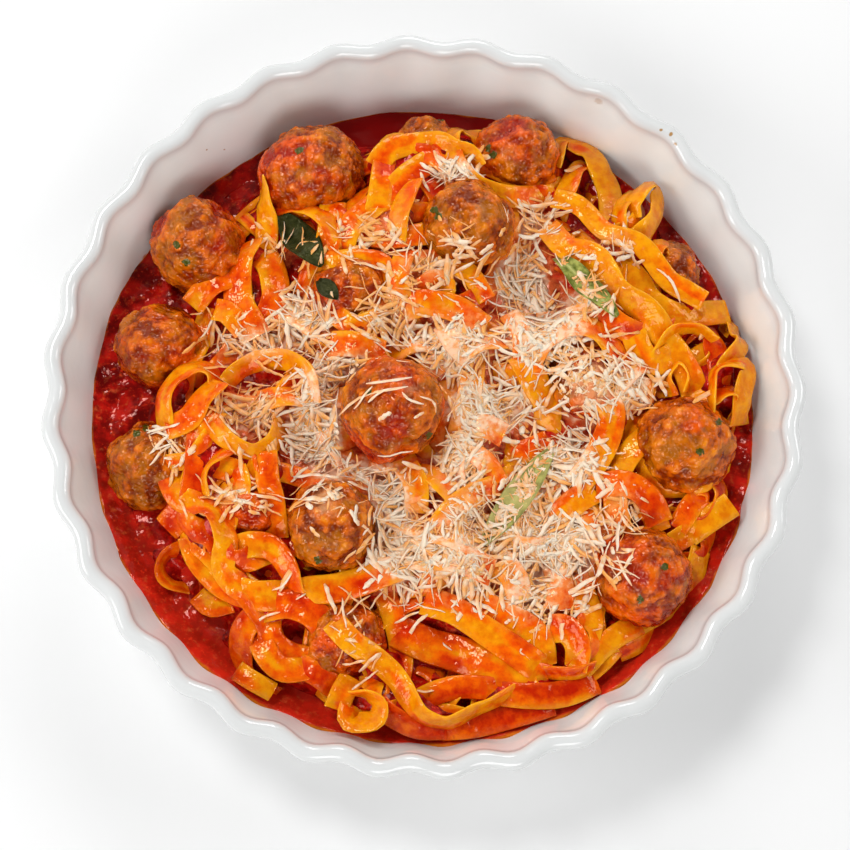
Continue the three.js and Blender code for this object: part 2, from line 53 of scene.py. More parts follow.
# Dish
DISH_HEIGHT = 56.0
RIM_RADIUS = 140.0
LIP_RADIUS = 3.25
LIP_CENTRE = DISH_HEIGHT - LIP_RADIUS
WALL_MIDDLE = RIM_RADIUS - LIP_RADIUS
LEAN_OUTSIDE = 0.2
LEAN_INSIDE = 0.22
LEAN_MIDDLE = 0.21
FLOOR = 5.0
CORNER_TOP = 13.0
CORNER_ROUND = 8.0
FLUTES = 32
FLUTE_DEPTH = 1.4
FLUTE_START = 1.35
FLUTE_DRIFT = 1.96
FLUTE_DOUBLE_DRIFT = 0.53
STEPS_PER_FLUTE = 12
PHASE_ROUNDS = 8
FLUTED_FROM = 118.0

# Food
SAUCE_LEVEL = 26.0
SAUCE_DROP = 9.0
SAUCE_SLOPE_END = 110.0
CORE_RADIUS = 110.0
CORE_EDGE = 22.0
CORE_CROWN = 33.0
CORE_LUMPS = 1.6
CORE_FOOT = 8.5
CORE_SIDES = 480
CORE_RINGS = 128
SAUCE_SIDES = 640
SAUCE_REACH = 127.0
SAUCE_OVERLAP = 0.6
SAUCE_FOOT = 13.2
SAUCE_BASE = 115.0
OIL_WIDTH = 2.6
NOODLE_WIDTH = 9.5
NOODLE_THICKNESS = 1.15
NOODLE_STEP = 1.5
STIFF_LENGTH = 3.0
END_LENGTH = 8.0
END_DIP = 3.0
ROLL_PER_BEND = 8.0
MOST_BEND_ROLL = 0.8
SAG_PER_STEP = 0.05
DRAPE_ROUNDS = 60
HEAP_DEPTH = 15.0
FIRST_HEIGHT = 36.0
BASE_NOODLES = 84
GOLDEN_ANGLE = 2.39996
STRIDE = 12.0
TURN_BACK = 1.2
NEAR_CLIMB = 7.0
FILM_DEPTH = 0.5
FILM_LOWEST = 12.0
GAP_LEVEL = 34.0
GAP_DEPTH = 9.0
SHRED_RINGS = 7
FLAKE = (3, 13), (0.6, 2.3), (0.1, 0.2)
THREAD = (5, 16), (0.4, 0.9), (0.15, 0.25)
CHEESE_DEPTH = 0.8
CHEESE_LEVEL = 38.0
CHEESE_SHARE = 0.85
CHEESE_SPREAD = 0.55
BARE_SHARE = 0.9
SINGLE_WIDTH = 0.8
SINGLE_THICKNESS = 0.15
STEEPEST = 0.8
BALL_COUNT = 16
BALL_LANES = 44
LEAF_THICKNESS = 0.8

# How far out the noodles lie: degrees round from the right, mm
REACH = [
    (0, 121), (15, 121), (35, 118), (60, 117), (80, 112), (100, 104), (125, 106), (150, 106), (180, 98),
    (200, 101), (225, 107), (250, 115), (270, 120), (300, 121), (360, 121),
]

# Camera
PICTURE = 850
VIEW_FOCAL = 1424.0
VIEW_DISTANCE = 520.0
VIEW_TILT = math.radians(12.5)
VIEW_TURN = math.radians(-7.4)
VIEW_AIM = np.array([-0.6, -15.2, DISH_HEIGHT])
SENSOR = 36.0

# Studio, in metres
FLOOR_SIZE = 6.0
FLOOR_ROUGHNESS = 0.8
LIT_POINT = (0, 0, 0.04)


def noodle(sauce, *at, roll=0, wide=1.0, lift=0, over=False, ends=(END_DIP, END_DIP)):
    """A noodle on top of the heap: how saucy it is and its points [across, down] in the picture.

    It is rolled by some degrees, 90 on its edge, and has a share of the usual width. It may be
    lifted, lie over the meatballs, and have its two ends dip by other amounts.
    """
    return dict(sauce=sauce, at=at, roll=roll, wide=wide, lift=lift, over=over, ends=ends)


# Noodles that lie on top, lowest first
NOODLES = [
    # Far edge
    noodle(0.12, (376, 166), (390, 151), (416, 143), (440, 142), (456, 149), (468, 159), (478, 170),
           roll=[20, 10, 0, 5, 35, 55, 60]),
    noodle(0.3, (412, 182), (405, 200), (399, 216), (395, 238), roll=30),
    noodle(0.22, (442, 154), (421, 170), (398, 184), (376, 201), (358, 217), (346, 236), (340, 254),
           wide=1.05),
    noodle(0.45, (386, 214), (376, 226), (364, 238)),
    noodle(0.2, (304, 296), (314, 274), (335, 262), (362, 263), (384, 274), (395, 296),
           roll=[10, 20, 0, 0, 25, 30], wide=0.85),
    noodle(0.3, (334, 214), (331, 234), (322, 260), roll=[0, 0, 15], wide=1.05),
    noodle(0.35, (405, 252), (398, 278), (401, 306), (412, 330), roll=10, wide=0.9),
    noodle(0.3, (418, 290), (436, 281), (447, 290), (438, 306), roll=25, wide=0.8),
    noodle(0.3, (444, 258), (468, 280), (486, 300), roll=15, wide=0.8),
    noodle(0.45, (404, 306), (430, 308), (456, 314), (482, 330), wide=1.2),
    noodle(0.35, (316, 300), (334, 318), (356, 326), (384, 316), roll=10, wide=0.9),
    # Left of the far edge
    noodle(0.2, (244, 222), (254, 232), (266, 240), wide=0.6),
    noodle(0.1, (265, 194), (266, 210), (268, 228), (266, 252), roll=[80, 55, 15, 10], lift=2),
    noodle(0.45, (262, 254), (273, 274), (276, 298), (268, 324), roll=[0, -10, -15, -10], wide=1.15),
    noodle(0.5, (253, 238), (243, 262), (238, 288), (243, 314), (258, 340), roll=[50, 20, 10, 10, 0],
           wide=1.2, lift=1),
    noodle(0.2, (194, 310), (212, 294), (234, 276), roll=[10, 0, 0]),
    noodle(0.5, (216, 312), (230, 320), (246, 336)),
    # Left
    noodle(0.5, (168, 430), (166, 404), (177, 381), (196, 369), (212, 374), (219, 390),
           roll=[-40, -50, -45, -40, -50, -60], lift=2),
    noodle(0.4, (224, 390), (206, 408), (190, 422), (168, 430), roll=[40, 25, 10, 10], lift=1),
    noodle(0.1, (154, 469), (174, 466), (194, 456), (212, 438), roll=[10, 20, 30, 30], wide=0.75),
    noodle(0.65, (216, 444), (200, 474), (186, 503), (170, 532), wide=1.15),
    noodle(0.5, (204, 494), (204, 476), (216, 458), (238, 448), roll=[-60, -60, -45, -30], wide=0.7),
    noodle(0.15, (218, 412), (200, 428), (180, 440), wide=1.05),
    noodle(0.3, (228, 386), (242, 372), (262, 364), (288, 366), (307, 378), (314, 402),
           roll=[50, 45, 30, 35, 45, 50], wide=0.9),
    noodle(0.2, (214, 428), (230, 446), (254, 456), (274, 446), (283, 420), roll=[20, 35, 40, 45, 50],
           wide=0.85),
    noodle(0.35, (266, 452), (268, 480), (276, 508), (278, 538), roll=[10, 0, 5, 10], wide=0.9),
    noodle(0.15, (250, 456), (254, 470), (258, 486), roll=30, wide=0.6),
    # Left of the near edge
    noodle(0.55, (188, 588), (170, 584), (162, 571), (168, 556), (184, 549), roll=[50, 58, 60, 58, 45],
           wide=0.75),
    noodle(0.4, (200, 596), (214, 608), (232, 602), wide=0.9),
    noodle(0.4, (190, 533), (199, 558), (221, 582), (252, 595), (284, 597), (312, 606), (334, 624),
           roll=[0, 0, 5, 15, 5, 0, 0], wide=1.15),
    noodle(0.45, (236, 470), (239, 488), (229, 514), (222, 540), (232, 568), roll=[40, 20, 5, 0, 0]),
    noodle(0.35, (232, 548), (253, 545), (274, 551), (288, 568), (297, 592), roll=[0, 5, 20, 40, 50]),
    noodle(0.6, (268, 620), (272, 640), (290, 655), (318, 662), (342, 680), roll=[0, 10, 10, 0, 0],
           wide=0.95),
    noodle(0.5, (262, 606), (246, 630), (242, 655), (252, 680), (272, 700), roll=[0, 10, 30, 55, 60]),
    noodle(0.4, (258, 636), (268, 656), (286, 671), (312, 668), roll=[0, 0, -10, -20], wide=0.95),
    noodle(0.5, (230, 684), (245, 693), (268, 706), wide=0.8, ends=(0, 3)),
    noodle(0.55, (262, 606), (290, 604), (316, 616), (334, 642), wide=1.2),
    # Near edge
    noodle(0.2, (304, 592), (330, 590), (356, 585), (380, 574), (406, 565), roll=[30, 5, 0, 0, 0],
           wide=1.1),
    noodle(0.6, (296, 664), (318, 674), (342, 692)),
    noodle(1.3, (380, 702), (392, 716), (414, 728), (446, 738), roll=[40, 30, 20, 0], wide=0.9),
    noodle(1.4, (442, 732), (478, 724), (514, 714), (552, 708)),
    noodle(0.7, (396, 630), (425, 645), (460, 655), (500, 668), (546, 682), wide=1.4),
    noodle(0.6, (416, 703), (438, 692), (464, 687), (502, 690), wide=0.95),
    noodle(0.1, (352, 706), (350, 722), (362, 730), (376, 719), (379, 704), (367, 694), (354, 695),
           roll=[-30, -30, -30, -35, -55, -70, -75], wide=0.95, lift=2),
    noodle(0.15, (352, 678), (343, 694), (337, 710), lift=1),
    noodle(0.2, (332, 620), (350, 640), (372, 656), (393, 675), (408, 697), (421, 716), (442, 722),
           (464, 716), (488, 704), (514, 693), roll=[0, 0, 0, 10, 25, 50, 60, 60, 60, 50], wide=0.95,
           over=True),
    noodle(0.7, (500, 693), (530, 696), (562, 694), (598, 689)),
    noodle(0.35, (470, 604), (505, 618), (533, 638), (542, 666), wide=1.2),
    noodle(0.25, (424, 600), (455, 613), (490, 635), (522, 657), (546, 674), wide=1.15),
    # Right of the near edge
    noodle(0.5, (546, 672), (572, 674), (594, 666), roll=60, wide=0.8),
    noodle(0.2, (574, 576), (582, 597), (590, 618), (588, 642), roll=[0, 0, 0, 10], wide=1.05),
    noodle(0.3, (547, 630), (564, 632), (574, 648), (578, 668), roll=[0, 10, 30, 40], wide=1.1),
    noodle(0.6, (620, 654), (636, 645), (654, 632), roll=30, wide=0.8),
    noodle(0.2, (582, 670), (597, 652), (616, 636), (638, 624), roll=[15, 0, 0, 0], wide=0.95),
    noodle(0.3, (638, 624), (662, 609), (682, 592), (695, 570), (702, 548), roll=[0, 0, 0, 10, 30]),
    noodle(0.5, (704, 496), (686, 510), (678, 528), roll=10, wide=0.9),
    noodle(0.15, (690, 534), (706, 522), (726, 508), wide=1.05, ends=(4, 0)),
    noodle(0.3, (634, 506), (650, 514), (657, 534)),
    noodle(0.75, (596, 486), (626, 484), (648, 498), (658, 524), wide=1.1),
    # Right
    noodle(-0.1, (712, 410), (708, 390), (713, 372), (727, 364), (738, 376), (741, 400), (736, 426),
           roll=[-85, -85, -75, -50, -35, -30, -40], lift=1),
    noodle(-0.1, (722, 336), (731, 327), (738, 338), (735, 352), (726, 364),
           roll=[-60, -50, -40, -45, -60], wide=0.9, lift=1),
    noodle(0.25, (656, 354), (668, 338), (690, 332), (712, 342), roll=70, wide=0.8),
    noodle(-0.15, (692, 368), (705, 356), (724, 349), wide=1.1),
    noodle(-0.1, (670, 398), (662, 384), (667, 371), (679, 367), (686, 380), (684, 394), roll=-70,
           wide=0.8),
    noodle(-0.1, (622, 312), (632, 340), (648, 361), (664, 364), (677, 351), roll=[0, 5, 10, 20, 30],
           wide=1.1),
    noodle(0.3, (600, 372), (606, 396), (608, 420), (602, 446), (590, 468), (574, 488),
           roll=[0, 5, 0, 0, 0, 0], wide=1.1),
    noodle(0.3, (596, 394), (616, 391), (636, 385), (654, 394), wide=0.9),
    # Between the cheese
    noodle(0.25, (494, 374), (510, 377), (526, 393), roll=20, wide=0.8),
    noodle(0.25, (520, 360), (535, 384), (546, 406), (548, 432), wide=1.2),
    noodle(0.35, (498, 454), (522, 454), (550, 442), wide=1.1),
    noodle(0.25, (554, 522), (572, 504), (594, 490), wide=1.1),
    noodle(0.35, (318, 446), (338, 441), (354, 432)),
    noodle(0.5, (370, 463), (394, 466), (414, 457), wide=0.9),
    noodle(0.4, (406, 468), (415, 490), (416, 514)),
    noodle(0.2, (434, 534), (452, 512), (475, 498), (500, 486), (518, 470), roll=10, wide=0.95),
    noodle(0.3, (444, 328), (456, 345), (472, 358)),
    noodle(0.55, (466, 426), (486, 427), (502, 438)),
    noodle(0.5, (468, 450), (484, 466), (498, 482), wide=0.9),
    noodle(0.3, (508, 318), (520, 340), (524, 362), wide=0.9),
    noodle(0.7, (330, 344), (356, 346), (384, 352), wide=1.1),
    noodle(0.6, (436, 556), (462, 560), (492, 572), wide=1.1),
    noodle(0.35, (500, 560), (512, 582), (520, 604), wide=1.1),
    noodle(0.4, (554, 566), (560, 588), (556, 612), wide=1.1),
    # Right of the far edge
    noodle(0.2, (572, 234), (588, 251), (602, 266), wide=0.9),
    noodle(0.45, (592, 174), (590, 192), (592, 216), roll=20, wide=0.8),
    noodle(0.1, (592, 170), (576, 178), (565, 194), (558, 218), roll=[50, 40, 25, 10], wide=0.9),
    noodle(-0.2, (552, 168), (557, 153), (573, 148), (590, 157), (600, 176), (607, 203), (611, 236),
           roll=[-50, -45, -30, -20, -10, 0, 0], wide=1.05, lift=2),
    noodle(-0.2, (618, 230), (618, 213), (628, 206), (636, 217), (631, 234), (612, 246),
           roll=[-50, -50, -50, -50, -40, -20], wide=0.9, lift=1),
    noodle(-0.2, (634, 216), (632, 203), (643, 203), (649, 218), (645, 236), (630, 246),
           roll=[-50, -50, -50, -45, -40, -20], wide=0.9, lift=2),
    noodle(-0.15, (604, 250), (618, 268), (632, 290), (650, 307), (672, 315), (696, 315), (722, 318),
           roll=[0, 0, 0, 10, 10, 0, 0], wide=1.1, lift=1),
    noodle(0.0, (544, 234), (566, 250), (590, 272), (616, 296), (644, 316), (668, 338), (684, 364),
           (694, 394), roll=[0, 0, 30, 55, 35, 5, 0, 0], wide=1.15, lift=2),
    noodle(-0.2, (554, 198), (578, 214), (604, 235), (634, 258), (666, 282), (702, 304),
           roll=[0, 0, 15, 20, 10, 15], wide=0.85, lift=1, over=True, ends=(2, 0)),
]

# Patches of grated cheese in the picture: centre, half sizes, shreds and how white it is
CHEESE = [
    (306, 318, 30, 30, 150, 0.8), (255, 342, 48, 20, 120, 0.6), (248, 412, 34, 30, 120, 0.5),
    (316, 434, 32, 38, 230, 0.9), (318, 400, 22, 36, 130, 0.8), (388, 316, 34, 30, 80, 0.5),
    (448, 350, 48, 34, 230, 0.8), (486, 410, 46, 26, 230, 0.9), (462, 460, 30, 26, 120, 0.7),
    (386, 506, 22, 48, 190, 1.0), (404, 556, 36, 44, 190, 0.8), (460, 552, 24, 54, 180, 0.8),
    (508, 534, 36, 34, 160, 0.7), (568, 546, 44, 30, 260, 0.9), (524, 596, 36, 28, 100, 0.6),
    (522, 272, 34, 34, 230, 1.0), (546, 330, 42, 34, 260, 0.9), (584, 392, 24, 32, 110, 0.7),
    (626, 388, 30, 24, 130, 0.8), (572, 462, 28, 26, 150, 1.0), (622, 504, 20, 30, 40, 0.6),
    (454, 174, 22, 14, 70, 0.9), (534, 220, 24, 22, 60, 0.7), (286, 248, 44, 14, 26, 0.5),
    (380, 232, 38, 20, 60, 0.5), (428, 270, 34, 18, 60, 0.5), (612, 246, 30, 16, 30, 0.7),
    (326, 506, 24, 32, 70, 0.8), (404, 404, 34, 20, 34, 0.9), (360, 640, 26, 44, 26, 0.6),
    (172, 446, 26, 20, 26, 0.7), (234, 498, 34, 14, 40, 0.5), (474, 226, 34, 30, 50, 0.6),
    (500, 360, 120, 110, 260, 0.6), (440, 500, 120, 80, 220, 0.6), (560, 590, 40, 40, 60, 0.6),
    (528, 506, 22, 40, 150, 0.5), (586, 300, 26, 20, 60, 0.6), (350, 470, 30, 16, 60, 0.8),
    (350, 372, 30, 18, 90, 0.7), (612, 560, 24, 22, 26, 0.7),
]

# Dark gaps between the noodles in the picture: place and radius
GAPS = [
    (406, 366, 13), (332, 275, 6), (307, 233, 9), (519, 375, 10), (436, 640, 7), (452, 673, 8),
    (465, 704, 9), (295, 647, 10), (561, 660, 10), (603, 618, 7), (695, 514, 6), (655, 287, 12),
    (196, 376, 9), (190, 570, 8),
]

# Shreds that show singly in the picture: their points and width in mm
SINGLE_SHREDS = [
    ([(340, 426), (362, 396), (408, 388)], 1.6), ([(366, 384), (392, 380), (412, 378)], 1.4),
    ([(402, 392), (410, 400), (424, 404)], 1.2), ([(420, 396), (434, 402), (436, 412)], 1.5),
    ([(368, 402), (380, 392), (394, 388)], 1.3), ([(414, 418), (424, 412)], 1.4),
    ([(657, 268), (668, 284), (680, 303)], 1.4), ([(352, 690), (366, 680), (378, 670)], 1.2),
    ([(417, 690), (426, 692), (436, 689)], 1.2), ([(510, 646), (520, 652), (530, 660)], 1.1),
    ([(520, 652), (524, 645), (530, 640)], 1.0), ([(440, 640), (446, 646), (452, 650)], 1.0),
    ([(146, 430), (164, 434), (176, 446), (192, 466)], 1.5), ([(150, 434), (166, 428), (178, 424)], 1.1),
    ([(617, 556), (624, 572), (632, 586)], 1.3), ([(634, 550), (626, 566), (612, 580)], 1.1),
    ([(272, 590), (284, 586), (294, 568)], 1.1), ([(296, 600), (306, 594)], 0.9),
    ([(254, 624), (266, 616), (280, 612)], 1.2), ([(214, 500), (230, 494), (244, 488)], 1.3),
    ([(244, 470), (252, 480), (268, 478)], 1.0), ([(330, 246), (346, 256), (372, 258)], 1.1),
]

# How saucy each meatball is, in the order of their numbers
BALL_SAUCE = [0.3, 0.25, 0.3, 0.0, 0.05, 0.3, 0.0, 0.3, 0.2, 0.0, 0.2, 0.35, 0.3, 0.3, 0.4, 0.5]

# Where cheese has slid off a meatball: centre and half size in the picture
BARE = [
    (392, 412, 50), (331, 530, 30), (660, 585, 34), (690, 446, 40), (478, 214, 24), (328, 291, 13),
]

# Basil leaves in the picture: start, end and width in mm
LEAVES = [
    ((553, 262), (617, 317), 9), ((550, 452), (482, 545), 11), ((283, 220), (322, 267), 13),
    ((318, 282), (338, 300), 7),
]

# How much painted shade darkens each leaf where it lies deep between the meatballs, and how pale it is
# with melted cheese
LEAF_SHADE_SHARE = [0.0, 0.0, 0.92, 0.95]
PALE_LEAF = [0.1, 0.65, 0.0, 0.0]

# Flecks of herb on the meatballs, in the picture
FLECKS = [
    (177, 245), (137, 433), (146, 428), (435, 210), (438, 216), (493, 155), (488, 148), (665, 567),
    (719, 422), (462, 132), (442, 118), (368, 392), (430, 436), (700, 452), (318, 560), (186, 262),
    (640, 600), (300, 150),
]

# Oily smears on the inside wall: degrees round from the right, spread, mm up the wall, strength
SMEARS = [
    (163, 16, 9, 0.5), (196, 10, 5, 0.4), (222, 14, 6, 0.5), (243, 12, 6, 0.45), (262, 18, 5, 0.35),
    (318, 16, 8, 0.45), (342, 14, 8, 0.5), (14, 12, 5, 0.3),
]

# Specks of browned sauce on the wall and rim: place in the picture and radius in mm
SPECKS = [
    (661, 130, 0.6), (671, 134, 0.9), (675, 144, 0.9), (571, 140, 0.5), (598, 103, 2.0), (242, 105, 0.8),
    (207, 150, 0.5), (162, 164, 0.6), (225, 150, 0.5), (156, 626, 0.6), (118, 571, 0.4), (282, 716, 0.5),
]
LARGE_SPECK = 1.5

# Colours; a pair goes from the darker to the lighter shade
# One white glaze in two shades: painted shade on the lip and outside, and lighter, greener painted light
# on the inside wall
GLAZE_SHADED_OUTSIDE = (0.705, 0.715, 0.71), (0.735, 0.745, 0.74)
GLAZE_LIT_INSIDE = (0.87, 0.93, 0.91), (0.90, 0.955, 0.935)
SMEAR_COLOUR = (0.75, 0.20, 0.02)
SPECK_COLOUR = (0.42, 0.22, 0.06)
SAUCE_COLOURS = (0.17, 0.001, 0.001), (0.62, 0.010, 0.005)
SAUCE_LUMP = (0.72, 0.04, 0.01)
SAUCE_NEAR = (0.80, 0.035, 0.012)
SAUCE_CALM = (0.26, 0.001, 0.001)
SAUCE_OIL = (0.80, 0.20, 0.008)
PASTA_BARE = (0.80, 0.19, 0.0), (0.92, 0.34, 0.002)
PASTA_OILY = (0.82, 0.065, 0.0), (0.94, 0.16, 0.0)
PASTA_SAUCY = (0.56, 0.008, 0.0), (0.78, 0.045, 0.0)
# Painted highlight along the edges of the noodles
PASTA_EDGE_HIGHLIGHT = (1.0, 0.48, 0.012)
PASTA_PULP = (0.60, 0.03, 0.001)
# Mince from the painted shade of the hollows between crumbs to its lighter, browned tops
MEAT_COLOURS = (0.21, 0.020, 0.0), (0.70, 0.125, 0.001)
MEAT_OLIVE = (0.58, 0.18, 0.003)
# Lighter tan on the highest crumbs, partly painted light
MEAT_TAN = (0.90, 0.28, 0.012)
MEAT_SAUCY = (0.36, 0.008, 0.0), (0.80, 0.085, 0.001)
HERB_COLOUR = (0.06, 0.065, 0.004)
MELT_ON_SAUCE = (0.84, 0.19, 0.05), (0.95, 0.60, 0.38)
MELT_ON_PASTA = (0.94, 0.32, 0.08), (0.97, 0.66, 0.43)
MELT_ON_MEAT = (0.82, 0.42, 0.18)
# Cheese from orange low in the layer, painted shade and painted see-through glow, to white on top
CHEESE_SHADE_TO_WHITE = (1.0, 0.45, 0.12), (1.0, 0.80, 0.63)
LEAF_COLOURS = (0.09, 0.12, 0.010), (0.42, 0.44, 0.10)
LEAF_RIB = (0.50, 0.50, 0.16)
LEAF_PALE = (0.54, 0.44, 0.16)
# Painted shade for the leaves that lie deep between the meatballs
LEAF_PAINTED_SHADE = (0.008, 0.009, 0.002)
FLOOR_COLOUR = (0.88, 0.88, 0.88)
LOW_SKY = (0.70, 0.70, 0.70)
MIDDLE_SKY = (0.74, 0.74, 0.735)
HIGH_SKY = (0.13, 0.13, 0.13)


def view_axes():
    """Right, up and back of the camera, as unit vectors."""
    tilt, turn = VIEW_TILT, VIEW_TURN
    back = np.array([math.sin(turn) * math.sin(tilt), -math.cos(turn) * math.sin(tilt), math.cos(tilt)])
    right = np.cross([0, 1, 0], back)
    right /= np.linalg.norm(right)
    return right, np.cross(back, right), back


def spot(across, down, height):
    """The place in mm at a height that shows at a point of the picture."""
    right, up, back = view_axes()
    eye = VIEW_AIM + back * VIEW_DISTANCE
    half = PICTURE / 2
    ray = -back + right * (across - half) / VIEW_FOCAL + up * (half - down) / VIEW_FOCAL
    return eye + ray * (height - eye[2]) / ray[2]


def picture_of(points):
    """Where points in mm show in the picture, as [across, down]."""
    right, up, back = view_axes()
    away = points - (VIEW_AIM + back * VIEW_DISTANCE)
    depth = -(away @ back)
    half = PICTURE / 2
    across = half + VIEW_FOCAL * (away @ right) / depth
    down = half - VIEW_FOCAL * (away @ up) / depth
    return np.stack([across, down], axis=1)


LATTICE = np.random.default_rng(5).uniform(-1, 1, (32, 32, 32))


def noise(points, size):
    """Smooth noise from -1 to 1 at points in mm, with lumps of a size."""
    scaled = points / size
    base = np.floor(scaled).astype(int)
    part = scaled - base
    part = part * part * (3 - 2 * part)
    total = np.zeros(len(points))
    for corner in np.ndindex(2, 2, 2):
        weight = np.prod(np.where(corner, part, 1 - part), axis=1)
        cell = (base + corner) % 32
        total += weight * LATTICE[cell[:, 0], cell[:, 1], cell[:, 2]]
    return total


def pebbles(points, size):
    """Distance from points in mm to the nearest of many scattered centres, in shares of a size."""
    scaled = points / size
    base = np.floor(scaled).astype(int)
    nearest = np.full(len(points), 9.0)
    for corner in np.ndindex(3, 3, 3):
        cell = base + corner - 1
        spread = [LATTICE[tuple(((cell + shift) % 32).T)] for shift in (0, 7, 15)]
        centre = cell + 0.5 + 0.45 * np.stack(spread, axis=1)
        nearest = np.minimum(nearest, np.linalg.norm(scaled - centre, axis=1))
    return nearest


def plan_places(x, y):
    """Points at height 0, where noise is read in plan."""
    return np.stack([x, y, 0 * x], axis=-1).reshape(-1, 3)


def round_points(radius, angle, height):
    """Points in mm at a radius and a height for each angle round the dish."""
    return np.stack([radius * np.cos(angle), radius * np.sin(angle), height], axis=-1)


def bell(reach, spread):
    """Weights that fall off to both sides of a middle and add up to 1."""
    weight = np.exp(-0.5 * (np.arange(-reach, reach + 1) / spread) ** 2)
    return weight / weight.sum()


def put_object(name, data):
    placed = bpy.data.objects.new(name, data)
    bpy.context.scene.collection.objects.link(placed)
    return placed


def make_piece(name, points, faces, material, marks):
    """A smooth mesh piece from points in mm and arrays of faces, riding on the root body."""
    mesh = bpy.data.meshes.new(name)
    mesh.vertices.add(len(points))
    mesh.vertices.foreach_set("co", (np.asarray(points) * MM).astype(np.float32).ravel())
    corners = np.concatenate([np.asarray(f).ravel() for f in faces]).astype(np.int32)
    sizes = np.concatenate([np.full(len(f), f.shape[1]) for f in faces])
    starts = np.concatenate([[0], np.cumsum(sizes)[:-1]])
    mesh.loops.add(len(corners))
    mesh.loops.foreach_set("vertex_index", corners)
    mesh.polygons.add(len(sizes))
    mesh.polygons.foreach_set("loop_start", starts.astype(np.int32))
    mesh.polygons.foreach_set("use_smooth", np.ones(len(sizes), bool))
    for mark, values in marks.items():
        layer = mesh.attributes.new(mark, "FLOAT", "POINT")
        layer.data.foreach_set("value", np.asarray(values, np.float32))
    mesh.update(calc_edges=True)
    mesh.validate()
    mesh.materials.append(material)
    piece = put_object(name, mesh)
    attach(piece, "root")
    return piece


def ring_faces(rings, sides):
    """Quads between rings of points, each ring with the same number of sides."""
    ring, side = np.meshgrid(np.arange(rings - 1), np.arange(sides), indexing="ij")
    near, far = ring * sides, (ring + 1) * sides
    after = (side + 1) % sides
    return np.stack([q.ravel() for q in (near + side, near + after, far + after, far + side)], axis=1)


def end_faces(sides, last):
    """The two faces that close a row of rings, given where its last ring starts."""
    ring = np.arange(sides)
    return [ring[::-1][None], (last + ring)[None]]


# Materials

NOISE_ROUGHNESS = 0.55


def feed(socket, value):
    """Gives a node's input a number, a colour or the output of another node."""
    if isinstance(value, bpy.types.NodeSocket):
        socket.id_data.links.new(value, socket)
    elif socket.type == "RGBA":
        socket.default_value = (*value, 1.0)
    else:
        socket.default_value = value


def add_node(nodes, kind, inputs, **settings):
    node = nodes.new("ShaderNode" + kind)
    for name, value in settings.items():
        setattr(node, name, value)
    for name, value in inputs.items():
        feed(node.inputs[name], value)
    return node


def add_noise(nodes, scale, detail, offset=0.0):
    """A noise texture in object space, its scale in lumps per metre."""
    place = add_node(nodes, "TexCoord", {}).outputs["Object"]
    if offset:
        place = add_node(nodes, "VectorMath", {0: place, 1: (offset, offset, offset)}).outputs[0]
    inputs = {"Vector": place, "Scale": scale, "Detail": detail, "Roughness": NOISE_ROUGHNESS}
    return add_node(nodes, "TexNoise", inputs).outputs["Fac"]


def add_ramp(nodes, value, low, high, to_low=0.0, to_high=1.0):
    """A value taken from one range to another, smooth and clamped."""
    inputs = {"Value": value, "From Min": low, "From Max": high, "To Min": to_low, "To Max": to_high}
    return add_node(nodes, "MapRange", inputs, interpolation_type="SMOOTHSTEP").outputs["Result"]


def add_mix(nodes, share, first, second):
    """Two colours mixed by a share; each is a colour or a socket."""
    inputs = {"Factor": share, "A": first, "B": second}
    return add_node(nodes, "Mix", inputs, data_type="RGBA").outputs["Result"]


def add_math(nodes, operation, first, second):
    return add_node(nodes, "Math", {0: first, 1: second}, operation=operation).outputs[0]


def add_mark(nodes, name):
    return add_node(nodes, "Attribute", {}, attribute_name=name).outputs["Fac"]


def add_patchy(nodes, mark, amount, *noise_values):
    """A mark made uneven by an amount of noise."""
    uneven = add_math(nodes, "MULTIPLY", add_noise(nodes, *noise_values), amount)
    return add_math(nodes, "ADD", add_mark(nodes, mark), uneven)


def add_coat(nodes, base, amount, low, high, colour, most=1.0):
    """A colour laid over another where an amount rises from low to high."""
    return add_mix(nodes, add_ramp(nodes, amount, low, high, 0.0, most), base, colour)


def add_bump(nodes, shader, height, distance, strength):
    inputs = {"Height": height, "Distance": distance, "Strength": strength}
    feed(shader.inputs["Normal"], add_node(nodes, "Bump", inputs).outputs["Normal"])


def new_material(name):
    material = bpy.data.materials.new(name)
    material.use_nodes = True
    nodes = material.node_tree.nodes
    return material, nodes, nodes["Principled BSDF"]


def set_surface(shader, colour, roughness, specular=0.5, tint=(1.0, 1.0, 1.0)):
    feed(shader.inputs["Base Color"], colour)
    feed(shader.inputs["Roughness"], roughness)
    feed(shader.inputs["Specular IOR Level"], specular)
    feed(shader.inputs["Specular Tint"], tint)


def set_translucent(shader, weight, radius):
    """Light that goes a little way in, how far in metres for each of its colours."""
    feed(shader.inputs["Subsurface Weight"], weight)
    feed(shader.inputs["Subsurface Radius"], radius)


def add_specks(nodes, colour):
    """Small brown specks over a colour."""
    place = add_node(nodes, "TexCoord", {}).outputs["Object"]
    ragged = add_math(nodes, "MULTIPLY", add_noise(nodes, 900, 2), 0.0012)
    for across, down, radius in SPECKS:
        ends = {0: place, 1: wall_spot(across, down) * MM}
        away = add_node(nodes, "VectorMath", ends, operation="DISTANCE").outputs["Value"]
        far = add_math(nodes, "ADD", away, ragged)
        size = radius * MM
        strength = 0.35 if radius > LARGE_SPECK else 0.95
        share = add_ramp(nodes, far, size * 0.7 + 0.0005, size + 0.0008, strength, 0.0)
        colour = add_mix(nodes, share, colour, SPECK_COLOUR)
    return colour


